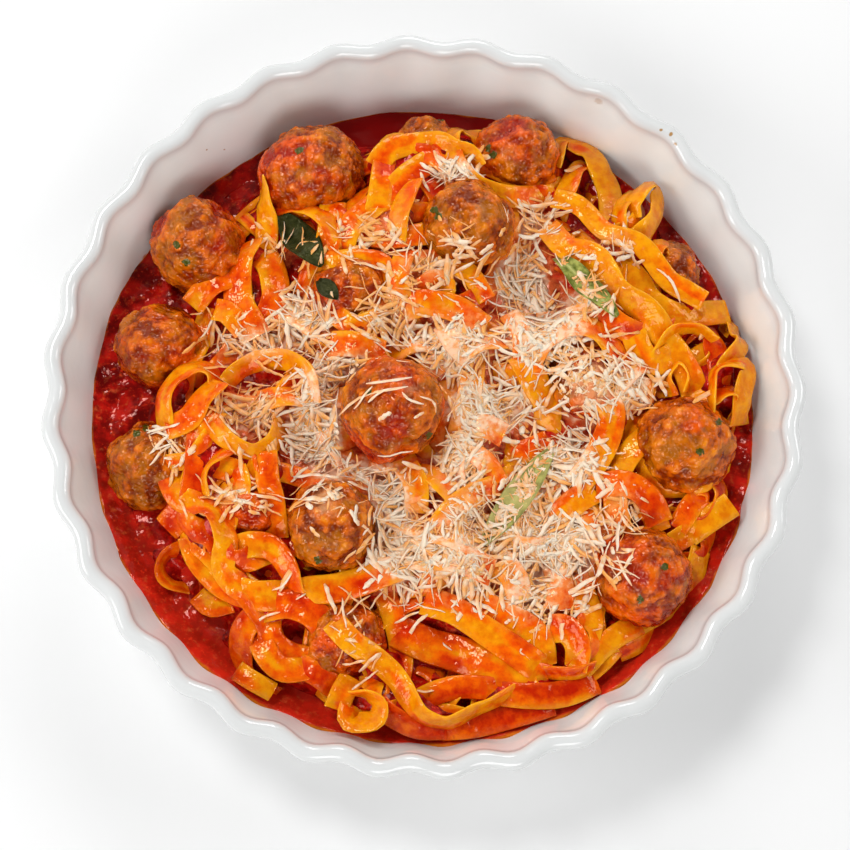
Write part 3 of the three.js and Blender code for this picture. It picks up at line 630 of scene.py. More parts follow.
def porcelain_material():
    """White glaze with painted light: painted shade makes it darker on the lip and outside, and painted
    light makes it lighter and greener on the inside wall against the red light that the sauce throws on
    it. It has specks and smears of sauce along the line of the food.
    """
    material, nodes, shader = new_material("white_glaze")
    cloud = add_ramp(nodes, add_noise(nodes, 30, 3), 0.35, 0.7)
    outer = add_mix(nodes, cloud, *GLAZE_SHADED_OUTSIDE)
    lit_inner = add_mix(nodes, cloud, *GLAZE_LIT_INSIDE)
    # The inside wall takes the painted light and the lip and outside take the painted shade
    dirty = add_specks(nodes, add_mix(nodes, add_mark(nodes, "wall"), outer, lit_inner))
    smeared = add_coat(nodes, dirty, add_patchy(nodes, "smear", 0.9, 160, 4), 0.86, 1.12, SMEAR_COLOUR)
    set_surface(shader, smeared, 0.14)
    feed(shader.inputs["Coat Weight"], 0.3)
    feed(shader.inputs["Coat Roughness"], 0.05)
    add_bump(nodes, shader, add_noise(nodes, 90, 2), 0.0004, 0.5)
    return material


def sauce_material():
    """Thick red sauce: pulp, a calm dark pool, melted cheese and a line of orange oil at the wall."""
    material, nodes, shader = new_material("tomato_sauce")
    calm = add_mark(nodes, "calm")
    red = add_mix(nodes, add_ramp(nodes, add_noise(nodes, 150, 5), 0.38, 0.66), *SAUCE_COLOURS)
    red = add_coat(nodes, red, add_noise(nodes, 520, 3, 3.0), 0.56, 0.74, SAUCE_LUMP)
    red = add_mix(nodes, add_math(nodes, "MULTIPLY", add_mark(nodes, "near"), 0.55), red, SAUCE_NEAR)
    red = add_mix(nodes, calm, red, SAUCE_CALM)
    red = add_coat(nodes, red, add_patchy(nodes, "oil", 0.8, 140, 4), 0.95, 1.35, SAUCE_OIL)
    milk = add_math(nodes, "SUBTRACT", add_patchy(nodes, "melt", 1.6, 360, 5), calm)
    red = add_coat(nodes, red, milk, 0.85, 1.5, MELT_ON_SAUCE[0], 0.85)
    red = add_coat(nodes, red, milk, 1.35, 1.8, MELT_ON_SAUCE[1], 0.9)
    set_surface(shader, red, 0.12, 0.34, (1.0, 0.55, 0.48))
    rough = add_math(nodes, "SUBTRACT", 1.0, calm)
    add_bump(nodes, shader, add_math(nodes, "MULTIPLY", add_noise(nodes, 220, 2), rough), 0.0010, 0.55)
    return material


def noodle_material():
    """Egg noodles, gold where bare, orange and red under sauce, milky where cheese has melted, with a
    painted highlight of lighter yellow along their edges.
    """
    material, nodes, shader = new_material("cooked_tagliatelle")
    level = add_math(nodes, "SUBTRACT", add_patchy(nodes, "sauce", 1.2, 160, 4), 0.15)
    grain = add_ramp(nodes, add_noise(nodes, 260, 4), 0.35, 0.65)
    shades = (PASTA_BARE, PASTA_OILY, PASTA_SAUCY)
    bare, oily, saucy = (add_mix(nodes, grain, *shade) for shade in shades)
    base = add_coat(nodes, bare, level, 0.48, 1.0, oily)
    base = add_coat(nodes, base, level, 0.98, 1.6, saucy)
    # Painted highlight: the noodles' edges are painted a lighter yellow, less where they are saucy
    edge_highlight = add_math(nodes, "MULTIPLY", add_mark(nodes, "edge_highlight"), add_ramp(nodes, level, 0.7, 1.3, 0.8, 0.2))
    base = add_mix(nodes, edge_highlight, base, PASTA_EDGE_HIGHLIGHT)
    spots = add_ramp(nodes, add_noise(nodes, 420, 4, 7.0), 0.58, 0.72)
    pulp = add_math(nodes, "MULTIPLY", spots, add_ramp(nodes, level, 0.6, 1.1, 0.0, 0.6))
    base = add_mix(nodes, pulp, base, PASTA_PULP)
    milk = add_patchy(nodes, "melt", 1.6, 360, 5)
    base = add_coat(nodes, base, milk, 1.0, 1.65, MELT_ON_PASTA[0], 0.7)
    base = add_coat(nodes, base, milk, 1.5, 1.95, MELT_ON_PASTA[1], 0.9)
    set_surface(shader, base, 0.13, 0.42, (1.0, 0.74, 0.46))
    set_translucent(shader, 0.12, (0.004, 0.0014, 0.0003))
    add_bump(nodes, shader, add_noise(nodes, 230, 2), 0.0009, 0.8)
    return material


def meat_material():
    """Coarse browned mince with a wet coat of sauce in places and a few flecks of herb; painted shade
    darkens the hollows between the crumbs and their tops are painted lighter.
    """
    material, nodes, shader = new_material("browned_meat")
    crumb = add_patchy(nodes, "crumb", 0.7, 520, 4)
    # The crumbs' heights colour the mince: darker in the hollows as painted shade, lighter on the tops
    # as painted light, along with the browning
    browning_and_shade = add_ramp(nodes, crumb, 0.45, 0.95)
    brown = add_mix(nodes, browning_and_shade, *MEAT_COLOURS)
    brown = add_coat(nodes, brown, add_noise(nodes, 110, 3, 9.0), 0.45, 0.62, MEAT_OLIVE, 0.55)
    brown = add_coat(nodes, brown, crumb, 0.85, 1.2, MEAT_TAN, 0.8)
    film = add_mix(nodes, browning_and_shade, *MEAT_SAUCY)
    brown = add_coat(nodes, brown, add_patchy(nodes, "sauce", 0.9, 120, 4), 0.62, 1.05, film)
    brown = add_coat(nodes, brown, add_patchy(nodes, "melt", 0.9, 280, 5), 0.85, 1.4, MELT_ON_MEAT, 0.6)
    brown = add_coat(nodes, brown, add_patchy(nodes, "herb", 1.6, 700, 3, 5.0), 1.25, 1.45, HERB_COLOUR)
    set_surface(shader, brown, 0.10, 0.5, (1.0, 0.76, 0.55))
    add_bump(nodes, shader, add_noise(nodes, 400, 1), 0.0016, 1.0)
    return material


def cheese_material(name):
    material, nodes, shader = new_material(name)
    # The tone mixes random streaks with painted shade: the lower shreds come out more orange
    tone = add_ramp(nodes, add_patchy(nodes, "tone", 0.6, 500, 3), 0.4, 1.25)
    set_surface(shader, add_mix(nodes, tone, *CHEESE_SHADE_TO_WHITE), 0.3, 0.3, (1.0, 0.9, 0.8))
    set_translucent(shader, 0.75, (0.0016, 0.0015, 0.0014))
    return material


def basil_material():
    material, nodes, shader = new_material("basil_leaf")
    leaf = add_mix(nodes, add_ramp(nodes, add_noise(nodes, 320, 4), 0.35, 0.7), *LEAF_COLOURS)
    # The rib and the melted cheese are the leaf's own colours; the last mark is painted shade
    for mark, colour in (("rib", LEAF_RIB), ("pale", LEAF_PALE), ("painted_shade", LEAF_PAINTED_SHADE)):
        leaf = add_mix(nodes, add_mark(nodes, mark), leaf, colour)
    set_surface(shader, leaf, 0.3, 0.2, (1.0, 0.95, 0.5))
    add_bump(nodes, shader, add_noise(nodes, 500, 3), 0.0007, 0.8)
    return material


# Dish


def angle_of_phase(phase):
    """Angle round the dish at which its slightly uneven flutes have run through a phase."""
    angle = phase / FLUTES
    for _ in range(PHASE_ROUNDS):
        drift = FLUTE_DRIFT * np.cos(angle) - FLUTE_DOUBLE_DRIFT * np.sin(2 * angle)
        angle = (phase - FLUTE_START - drift) / FLUTES
    return angle


def inner_radius(height):
    return WALL_MIDDLE - LIP_RADIUS - LEAN_INSIDE * (LIP_CENTRE - height)


def wall_spot(across, down):
    """The place in mm on the lip or the inside wall that the picture shows at a point."""
    top = spot(across, down, DISH_HEIGHT - 0.3)
    if math.hypot(top[0], top[1]) > WALL_MIDDLE - 2.5:
        return top
    heights = np.linspace(SAUCE_LEVEL, DISH_HEIGHT - 1, 80)
    places = [spot(across, down, height) for height in heights]
    gaps = [abs(math.hypot(place[0], place[1]) - inner_radius(place[2])) for place in places]
    return places[int(np.argmin(gaps))]


def arc(centre, radius, start, end, count):
    """Points [radius, height] on an arc, angles in degrees from outward towards up."""
    turn = np.radians(np.linspace(start, end, count))
    return [(centre[0] + radius * math.cos(a), centre[1] + radius * math.sin(a)) for a in turn]


def dish_profile():
    """Points [radius, height] from the middle underneath, out, over the lip and back inside."""
    corner = inner_radius(CORNER_TOP)
    outer_foot = RIM_RADIUS - LEAN_OUTSIDE * (LIP_CENTRE - 12)
    profile = [(0.01, 1.5), (60, 1.5), (106, 1.5)]
    profile += arc((111, 1.0), 1.0, 180, 270, 4)
    profile += arc((117, 1.0), 1.0, 270, 330, 4)
    profile += [(121, 1.6)] + arc((outer_foot - 9.5, 11.5), 9.5, -75, -12, 8)
    profile += [(RIM_RADIUS - LEAN_OUTSIDE * (LIP_CENTRE - h), h) for h in np.linspace(14, 48, 12)]
    profile += arc((WALL_MIDDLE, LIP_CENTRE), LIP_RADIUS, -8, 190, 14)
    profile += [(inner_radius(h), h) for h in np.linspace(50, CORNER_TOP, 16)]
    profile += arc((corner - CORNER_ROUND, CORNER_TOP), CORNER_ROUND, 0, -90, 8)[1:]
    profile += [(90, FLOOR), (50, FLOOR), (0.01, FLOOR)]
    return np.array(profile)


def smear_of(angle, height, level):
    """How oily with sauce the inside wall is: patches along the level of the food."""
    above = height - level
    mark = np.clip(1 - above / 2.2, 0, 1) * 0.45
    for middle, spread, reach, strength in SMEARS:
        away = (angle - middle + 180) % 360 - 180
        patch = strength * np.exp(-((away / spread) ** 2)) * np.clip(1 - above / reach, 0, 1)
        mark = np.maximum(mark, patch)
    return mark


def make_dish(material):
    """The dish, its profile turned round and waved by the flutes where they have grown out of it."""
    profile = dish_profile()
    out, up = profile.T
    count = FLUTES * STEPS_PER_FLUTE
    phase = np.arange(count) * 2 * math.pi / STEPS_PER_FLUTE
    angle = angle_of_phase(phase)
    inside = (out < WALL_MIDDLE - LEAN_MIDDLE * (LIP_CENTRE - up)) & (up > FLOOR - 0.5)
    low = np.where(inside, SAUCE_LEVEL - 5, 2.0)
    high = np.where(inside, LIP_CENTRE, 12.0)
    depth = FLUTE_DEPTH * np.clip((up - low) / (high - low), 0, 1)
    depth[out < FLUTED_FROM] = 0
    radius = out[:, None] - depth[:, None] * np.cos(phase)[None]
    height = np.repeat(up[:, None], count, axis=1)
    points = round_points(radius, angle, height).reshape(-1, 3)
    level = sauce_height(radius * np.sin(angle))
    smear = smear_of(np.degrees(angle)[None] % 360, height, level)
    marks = {
        "smear": np.where(inside[:, None], smear, 0).ravel(),
        # How much of the inside wall's lighter, greener painted light each point takes; the rest takes
        # the lip's painted shade
        "wall": (np.clip((LIP_CENTRE - height) / 4, 0, 1) * inside[:, None]).ravel(),
    }
    faces = [ring_faces(len(profile), count), *end_faces(count, len(points) - count)]
    dish = make_piece("dish_glazed", points, faces, material, marks)
    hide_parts("dish")


# Heights of what lies in the dish, on a grid with one cell a millimetre

HALF = 146
CELLS = 2 * HALF + 1
grid_x, grid_y = np.meshgrid(np.arange(CELLS) - HALF, np.arange(CELLS) - HALF, indexing="ij")
grid_out = np.hypot(grid_x, grid_y)


def cells_at(x, y):
    column = np.clip(np.rint(x).astype(int) + HALF, 0, CELLS - 1)
    row = np.clip(np.rint(y).astype(int) + HALF, 0, CELLS - 1)
    return column, row


def stamp(field, x, y, height):
    np.maximum.at(field, cells_at(x, y), height)


def sampled(field, x, y):
    """A field of heights read between its cells."""
    column, row = np.clip(x + HALF, 0, CELLS - 2), np.clip(y + HALF, 0, CELLS - 2)
    left, low = column.astype(int), row.astype(int)
    across, along = column - left, row - low
    near = field[left, low] * (1 - across) + field[left + 1, low] * across
    far = field[left, low + 1] * (1 - across) + field[left + 1, low + 1] * across
    return near * (1 - along) + far * along


def blurred(field, spread):
    """A field of heights smoothed over a spread in mm."""
    weight = bell(math.ceil(3 * spread), spread)
    for axis in (0, 1):
        field = np.apply_along_axis(np.convolve, axis, field, weight, mode="same")
    return field


def sauce_height(y):
    """Height of the sauce, which is too thick to run level and lies lower towards the far edge."""
    slope = np.clip(y / SAUCE_SLOPE_END, 0, 1)
    return SAUCE_LEVEL - SAUCE_DROP * slope * slope * (3 - 2 * slope)


def core_height(x, y):
    """Top of the hidden core of the heap."""
    out = np.clip(np.hypot(x, y) / CORE_RADIUS, 0, 1)
    lumps = noise(plan_places(x, y), 14).reshape(np.shape(x))
    return CORE_EDGE + (CORE_CROWN - CORE_EDGE) * (1 - out**2) + CORE_LUMPS * lumps


def balls_of_frame():
    """Centre and mean radius of each meatball, from the frame, in mm."""
    balls = []
    for number in range(1, BALL_COUNT + 1):
        low, high = (np.array(corner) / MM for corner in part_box(f"meatball_{number:02d}"))
        balls.append(((low + high) / 2, float(np.mean(high - low)) / 2))
    return balls


def first_fields(balls):
    """Heights of the bed of sauce and core, and of the meatballs."""
    core = np.where(grid_out < CORE_RADIUS, core_height(grid_x, grid_y), 0)
    bed = np.maximum(core, sauce_height(grid_y) - 0.5)
    tops = np.zeros_like(bed)
    for centre, radius in balls:
        out = np.hypot(grid_x - centre[0], grid_y - centre[1]) / (radius * 1.02)
        cap = centre[2] + radius * np.sqrt(np.clip(1 - out**2, 0, 1))
        tops = np.maximum(tops, np.where(out < 1, cap, 0))
    return bed, tops


def cheese_cover():
    """How thickly cheese lies over each cell, from 0 to 1."""
    cover = np.zeros_like(grid_out)
    for across, down, half_across, half_down, number, _ in CHEESE:
        place = spot(across, down, CHEESE_LEVEL)
        reach = np.array([half_across, half_down]) * VIEW_DISTANCE / VIEW_FOCAL
        away = ((grid_x - place[0]) / reach[0]) ** 2 + ((grid_y - place[1]) / reach[1]) ** 2
        cover += number / (reach[0] * reach[1]) * np.exp(-away * 1.4)
    return np.clip(cover * 1.4, 0, 1)


# Noodles

SECTION = np.array([
    (-0.46, 0.5), (-0.24, 0.5), (0, 0.5), (0.24, 0.5), (0.46, 0.5), (0.5, 0),
    (0.46, -0.5), (0.24, -0.5), (0, -0.5), (-0.24, -0.5), (-0.46, -0.5), (-0.5, 0),
])
# How much painted highlight each point of the section takes, most at its edges
EDGE_HIGHLIGHT = np.interp(np.abs(SECTION[:, 0]), [0.24, 0.46, 0.5], [0.05, 0.4, 1.0])
CAP_QUADS = np.array([(0, 1, 9, 10), (1, 2, 8, 9), (2, 3, 7, 8), (3, 4, 6, 7)])
CAP_TRIANGLES = np.array([(11, 0, 10), (4, 5, 6)])


def smooth_line(points, step):
    """A curve through plan points, with steps of one length."""
    points = np.asarray(points, float)
    ends = np.vstack([2 * points[0] - points[1], points, 2 * points[-1] - points[-2]])
    dense = []
    for i in range(1, len(ends) - 2):
        a, b, c, d = ends[i - 1 : i + 3]
        t = np.linspace(0, 1, 24, endpoint=False)[:, None]
        bend, twist = 2 * a - 5 * b + 4 * c - d, 3 * b - a - 3 * c + d
        dense.append(0.5 * (2 * b + (c - a) * t + bend * t**2 + twist * t**3))
    dense = np.vstack([*dense, points[-1:]])
    run = np.concatenate([[0], np.cumsum(np.hypot(*np.diff(dense, axis=0).T))])
    at = np.linspace(0, run[-1], max(6, int(run[-1] / step)))
    return np.stack([np.interp(at, run, dense[:, 0]), np.interp(at, run, dense[:, 1])], axis=1)


def unit_steps(line):
    forward = np.gradient(line, axis=0)
    return forward / (np.linalg.norm(forward, axis=1)[:, None] + 1e-9)


def sides_of(line):
    """Unit vectors to the left of a plan line."""
    forward = unit_steps(line)
    return np.stack([-forward[:, 1], forward[:, 0]], axis=1)


def along_line(values, count):
    """A value for each step of a line, from one number or from one for each of its points."""
    values = np.atleast_1d(np.asarray(values, float))
    return np.interp(np.linspace(0, 1, count), np.linspace(0, 1, len(values)), values)


def bend_roll(line):
    """The roll, in radians, that a flat noodle takes on where its line bends in plan."""
    forward = unit_steps(line)
    heading = np.unwrap(np.arctan2(forward[:, 1], forward[:, 0]))
    turn = np.pad(np.gradient(heading) / NOODLE_STEP, 4, mode="edge")
    turn = np.convolve(turn, np.ones(9) / 9, mode="valid")
    return np.clip(turn * ROLL_PER_BEND, -MOST_BEND_ROLL, MOST_BEND_ROLL)


def wide_field(field):
    """Each cell raised to its highest neighbour."""
    out = field.copy()
    for axis in (0, 1):
        for shift in (1, -1):
            out = np.maximum(out, np.roll(field, shift, axis))
    return out


def eased(height):
    """Heights along a line with their kinks rounded off, as a noodle is too stiff for them."""
    return np.convolve(np.pad(height, 6, mode="edge"), bell(6, STIFF_LENGTH / NOODLE_STEP), mode="valid")


def drape(line, roll, width, field, most=HEAP_DEPTH):
    """Heights along a noodle that lies on a field of heights, bridging its hollows."""
    side = sides_of(line)
    field = wide_field(field)
    support = np.full(len(line), -1.0)
    for across in np.linspace(-0.5, 0.5, 7):
        out = across * width * np.cos(roll)
        at = line + side * out[:, None]
        under = field[cells_at(at[:, 0], at[:, 1])]
        support = np.maximum(support, under - across * width * np.sin(roll))
    support += NOODLE_THICKNESS / 2
    highest = core_height(*line.T) + most + 0.5 * width * np.abs(np.sin(roll))
    support = np.minimum(support, highest)
    height = support.copy()
    for _ in range(DRAPE_ROUNDS):
        mean = (np.roll(height, 1) + np.roll(height, -1)) / 2
        mean[0], mean[-1] = height[1], height[-2]
        height = np.maximum(support, mean - SAG_PER_STEP)
    return eased(height) + 0.2


def noodle_mesh(line, height, roll, width, rng):
    """Points of a noodle's rings: a flat section with soft edges that ruffle a little."""
    path = np.column_stack([line, height])
    forward = unit_steps(path)
    side = np.column_stack([sides_of(line), np.zeros(len(line))])
    up = np.cross(forward, side)
    up /= np.linalg.norm(up, axis=1)[:, None] + 1e-9
    broad = side * np.cos(roll)[:, None] + up * np.sin(roll)[:, None]
    thin = up * np.cos(roll)[:, None] - side * np.sin(roll)[:, None]
    run = np.arange(len(line)) * NOODLE_STEP
    phases = rng.uniform(0, 6.28, 4)
    swell = width * (1 + 0.04 * np.sin(run / 9 + phases[0]))
    cup = rng.uniform(-0.5, 0.9)
    rings = []
    for x, y in SECTION:
        wave = np.sin(run / 2.6 + phases[1 if x < 0 else 2]) * 0.36 * (2 * x) ** 2
        wave += 0.7 * noise(path + np.array([x * width, 7.0, 0.0]), 5.5)
        lift = wave + cup * (x * x - 0.08) * 2 + 0.3 * x * np.sin(run / 7 + phases[3])
        edge = 0.82 if abs(x) > 0.4 else 1.0
        offset = y * NOODLE_THICKNESS * edge + lift
        rings.append(path + broad * (x * swell)[:, None] + thin * offset[:, None])
    return np.stack(rings, axis=1).reshape(-1, 3)


def streaks_of(rings, start):
    """Sauce dragged along a noodle in streaks, as an amount more or less at each point."""
    run = np.repeat(np.arange(rings) * NOODLE_STEP, len(SECTION))
    across = np.tile([x for x, _ in SECTION], rings)
    place = np.stack([run * 0.22 + start, across * 7, np.full(len(run), start)], axis=1)
    return 0.9 * noise(place, 2.6)


class Strands:
    """Collects noodles into one mesh."""

    def __init__(self, cover):
        self.points, self.sauce, self.quads, self.triangles = [], [], [], []
        self.count = 0
        self.cover = cover

    def add(self, points, sauce):
        sides = len(SECTION)
        rings = len(points) // sides
        last = (rings - 1) * sides
        self.points.append(points)
        self.sauce.append(sauce + streaks_of(rings, 17.0 * len(self.sauce)))
        self.quads += [ring_faces(rings, sides)[:, ::-1] + self.count]
        self.quads += [CAP_QUADS[:, ::-1] + self.count, CAP_QUADS + self.count + last]
        self.triangles += [CAP_TRIANGLES[:, ::-1] + self.count, CAP_TRIANGLES + self.count + last]
        self.count += len(points)

    def make(self, name, material):
        points = np.vstack(self.points)
        faces = [np.vstack(self.quads), np.vstack(self.triangles)]
        marks = {
            "sauce": np.concatenate(self.sauce),
            "melt": self.cover[cells_at(points[:, 0], points[:, 1])],
            # share of the painted edge highlight
            "edge_highlight": np.tile(EDGE_HIGHLIGHT, len(points) // len(EDGE_HIGHLIGHT)),
        }
        piece = make_piece(name, points, faces, material, marks)
        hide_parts("tagliatelle")


def lay_noodle(strands, line, height, roll, width, sauce, field, rng):
    """Adds one noodle to the strands and raises the field of heights by it, less by a steep one."""
    strands.add(noodle_mesh(line, height, roll, width, rng), sauce)
    side = sides_of(line)
    for across in np.linspace(-0.5, 0.5, 13):
        at = line + side * (across * width * np.cos(roll))[:, None]
        rise = 0.4 * across * width * np.sin(roll) + NOODLE_THICKNESS / 2
        stamp(field, at[:, 0], at[:, 1], height + rise)


def tucked(height, first, last):
    """Heights with the ends bent down by two depths."""
    run = np.arange(len(height)) * NOODLE_STEP
    height = height - first * np.clip(1 - run / END_LENGTH, 0, 1) ** 1.6
    return height - last * np.clip(1 - run[::-1] / END_LENGTH, 0, 1) ** 1.6


def keep_inside(points, margin):
    out = np.hypot(points[:, 0], points[:, 1])
    most = inner_radius(SAUCE_LEVEL) - margin
    return points * np.minimum(1, most / np.maximum(out, 1e-6))[:, None]


def reach_at(x, y):
    """How far out the noodles lie, in the direction of a place."""
    turn = math.degrees(math.atan2(y, x)) % 360
    return float(np.interp(turn, [a for a, _ in REACH], [r for _, r in REACH]))


def heading_vector(heading):
    return np.array([math.cos(heading), math.sin(heading)])


def base_noodle_line(rng, index):
    """A wandering plan line somewhere on the heap."""
    turn = index * GOLDEN_ANGLE + rng.uniform(-0.3, 0.3)
    layer = BASE_NOODLES // 2
    share = math.sqrt((index % layer + 0.5) / layer)
    ahead = heading_vector(turn)
    start = share * reach_at(*ahead) * ahead
    heading = rng.uniform(0, 2 * math.pi)
    bend = rng.uniform(-0.03, 0.03)
    points = [start]
    for _ in range(int(rng.integers(6, 11))):
        bend = np.clip(bend + rng.uniform(-0.022, 0.022), -0.06, 0.06)
        heading += bend * STRIDE
        step = points[-1] + STRIDE * heading_vector(heading)
        if np.hypot(*step) > reach_at(*step):
            heading += TURN_BACK * np.sign(np.cross(heading_vector(heading), -step))
            step = points[-1] + STRIDE * heading_vector(heading)
        points.append(step * min(1, reach_at(*step) / np.hypot(*step)))
    return smooth_line(keep_inside(np.array(points), 6), NOODLE_STEP)


def make_bed(material, field, cover):
    """Wandering noodles that fill the heap under those that are placed on it."""
    rng = np.random.default_rng(21)
    for part in (1, 2):
        strands = Strands(cover)
        for index in range(part - 1, BASE_NOODLES, 2):
            line = base_noodle_line(rng, index)
            roll = bend_roll(line) + rng.uniform(-0.25, 0.25)
            width = NOODLE_WIDTH * rng.uniform(0.85, 1.05)
            height = tucked(drape(line, roll, width, field), rng.uniform(1, 5), rng.uniform(1, 5))
            lay_noodle(strands, line, height, roll, width, rng.uniform(0.15, 0.75), field, rng)
        strands.make(f"tagliatelle_bed_{part}", material)


def placed_line(points, field):
    """Plan line of a noodle from its points in the picture, on a field of heights."""
    plan = []
    for across, down in points:
        height = FIRST_HEIGHT
        for _ in range(3):
            place = spot(across, down, height)
            height = float(field[cells_at(place[0], place[1])]) + 1
        plan.append(place[:2])
    return smooth_line(keep_inside(np.array(plan), 4), NOODLE_STEP)


def make_top(material, field, tops, cover):
    """The noodles that show whole, each draped where it lies in the picture."""
    rng = np.random.default_rng(8)
    strands = Strands(cover)
    both = np.maximum(field, tops)
    for kind in NOODLES:
        under = both if kind["over"] else field
        line = placed_line(kind["at"], under)
        roll = np.radians(along_line(kind["roll"], len(line)))
        width = NOODLE_WIDTH * kind["wide"]
        height = drape(line, roll, width, under, HEAP_DEPTH * (2 if kind["over"] else 1))
        height = tucked(height + kind["lift"], *kind["ends"])
        lay_noodle(strands, line, height, roll, width, kind["sauce"], field, rng)
        both = np.maximum(both, field)
    strands.make("tagliatelle_top", material)
    return both


def film_field(field, cover):
    """Top of what fills the heap between the noodles: highest under cheese, open at dark gaps."""
    film = blurred(field, 2.2) - FILM_DEPTH
    film += cover * np.clip(blurred(field, 7.0) - 1.5 - film, 0, None)
    for across, down, radius in GAPS:
        place = spot(across, down, GAP_LEVEL)
        away = np.hypot(grid_x - place[0], grid_y - place[1]) / (radius * VIEW_DISTANCE / VIEW_FOCAL)
        film -= GAP_DEPTH * np.exp(-(away**2))
    return np.maximum(film, FILM_LOWEST)


def make_core(material, film, cover):
    """The inside of the heap: saucy pasta, whose lumpy top shows between the noodles."""
    angle = np.arange(CORE_SIDES) * 2 * math.pi / CORE_SIDES
    radius = np.linspace(0.5, CORE_RADIUS + 9, CORE_RINGS)[:, None]
    x, y = radius * np.cos(angle), radius * np.sin(angle)
    place = plan_places(x, y)
    relief = 0.6 * noise(place, 6) + 0.9 * (0.5 - pebbles(place, 3.2))
    top = sampled(film, x, y) + relief.reshape(x.shape)
    foot = [x[-1] * 0.93, y[-1] * 0.93, np.full(CORE_SIDES, CORE_FOOT)]
    points = np.vstack([np.stack([x, y, top], axis=-1).reshape(-1, 3), np.stack(foot, axis=-1)])
    faces = [ring_faces(CORE_RINGS + 1, CORE_SIDES), *end_faces(CORE_SIDES, CORE_RINGS * CORE_SIDES)]
    marks = {"melt": sampled(cover, points[:, 0], points[:, 1])}
    core = make_piece("tagliatelle_core", points, faces, material, marks)
    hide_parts("tagliatelle")


def calm_share(x, y):
    """How smooth the sauce lies, from 0 to 1: it is a thin smooth pool at the far edge."""
    return np.clip((y - 70) / 30, 0, 1) * np.clip((x + 75) / 20, 0, 1) * np.clip((45 - x) / 20, 0, 1)


def make_sauce(material):
    """The sauce: a thick pulpy surface that climbs the wall a little, finest where it shows."""
    angle = np.arange(SAUCE_SIDES) * 2 * math.pi / SAUCE_SIDES
    outs = np.concatenate([[1, 14, 30], np.linspace(46, SAUCE_REACH - 1, 56)]) + 1
    rows, marks = [], {"oil": [], "calm": [], "near": []}
    for out in outs:
        x, y = out * np.cos(angle), out * np.sin(angle)
        place = plan_places(x, y)
        relief = 1.2 * noise(place, 13) + 1.1 * noise(place, 5) + 0.7 * (0.5 - pebbles(place, 4.4))
        outer = max(0.0, 1 - (SAUCE_REACH - out) / 7)
        near = np.clip(-y / 100, 0, 1)
        climb = outer**2 * (1.3 + 1.6 * noise(place, 16)) + outer * NEAR_CLIMB * near
        calm = calm_share(x, y)
        height = sauce_height(y) + relief * (1 - 0.6 * outer) * (1 - 0.8 * calm) + climb
        grown = (inner_radius(height) + SAUCE_OVERLAP) / SAUCE_REACH
        rows.append(np.stack([x * grown, y * grown, height], axis=-1))
        oil = max(0.0, 1 - (SAUCE_REACH - out) / OIL_WIDTH)
        for mark, values in (("oil", np.full(SAUCE_SIDES, oil)), ("calm", calm), ("near", near)):
            marks[mark].append(values)
    edge = rows[-1][:, 2]
    for share in (0.4, 0.8, 1.0):
        height = edge * (1 - share) + SAUCE_FOOT * share
        reach = inner_radius(height) + SAUCE_OVERLAP - 0.9 * share
        rows.append(round_points(reach, angle, height))
    rows.append(round_points(SAUCE_BASE, angle, np.full(SAUCE_SIDES, FLOOR + 0.35)))
    hidden = np.zeros((len(rows) - len(outs)) * SAUCE_SIDES)
    marks = {mark: np.concatenate([*values, hidden]) for mark, values in marks.items()}
    points = np.vstack(rows)
    faces = [ring_faces(len(rows), SAUCE_SIDES), *end_faces(SAUCE_SIDES, len(points) - SAUCE_SIDES)]
    sauce = make_piece("sauce_pool", points, faces, material, marks)
    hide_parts("tomato_sauce")


def ball_surface():
    """Points and faces of a unit ball with lanes of about one size: a cube blown up round."""
    cube = bmesh.new()
    bmesh.ops.create_cube(cube, size=2.0)
    bmesh.ops.subdivide_edges(cube, edges=cube.edges[:], cuts=BALL_LANES - 1, use_grid_fill=True)
    points = np.array([vertex.co for vertex in cube.verts])
    faces = np.array([[vertex.index for vertex in face.verts] for face in cube.faces])
    cube.free()
    points = np.tan(points * math.pi / 4)
    return points / np.linalg.norm(points, axis=1)[:, None], faces


def make_balls(material, balls, cover):
    """Meatballs: lumpy spheres of coarse mince, each where its solid is."""
    unit, faces = ball_surface()
    for number, (centre, radius) in enumerate(balls, 1):
        skin = unit * radius + np.array([37.0, 11.0, 5.0]) * number
        crumbs = 0.8 * (0.45 - pebbles(skin, 3.2)) + 0.6 * (0.45 - pebbles(skin, 1.7))
        crumbs += 0.8 * noise(skin, 3.4)
        lump = 1.4 * noise(skin, 12) + 0.9 * noise(skin, 6) + crumbs
        points = centre + unit * (radius * 0.985 + lump)[:, None]
        picture = picture_of(points)
        near = [np.hypot(*(picture - fleck).T) for fleck in FLECKS]
        herb = np.clip(1.3 - np.min(near, axis=0) / 5.0, 0, 1) * (unit[:, 2] > 0.1)
        marks = {
            "sauce": BALL_SAUCE[number - 1] + 0.4 * noise(skin, 14),
            # heights of the crumbs, which the material turns into painted shade in the hollows and
            # lighter tops
            "crumb": np.clip(0.38 + 0.5 * crumbs, 0, 1),
            "melt": cover[cells_at(points[:, 0], points[:, 1])] * np.clip(unit[:, 2], 0, 1),
            "herb": herb,
        }
        ball = make_piece(f"meatball_{number:02d}_minced", points, [faces], material, marks)
        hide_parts(f"meatball_{number:02d}")


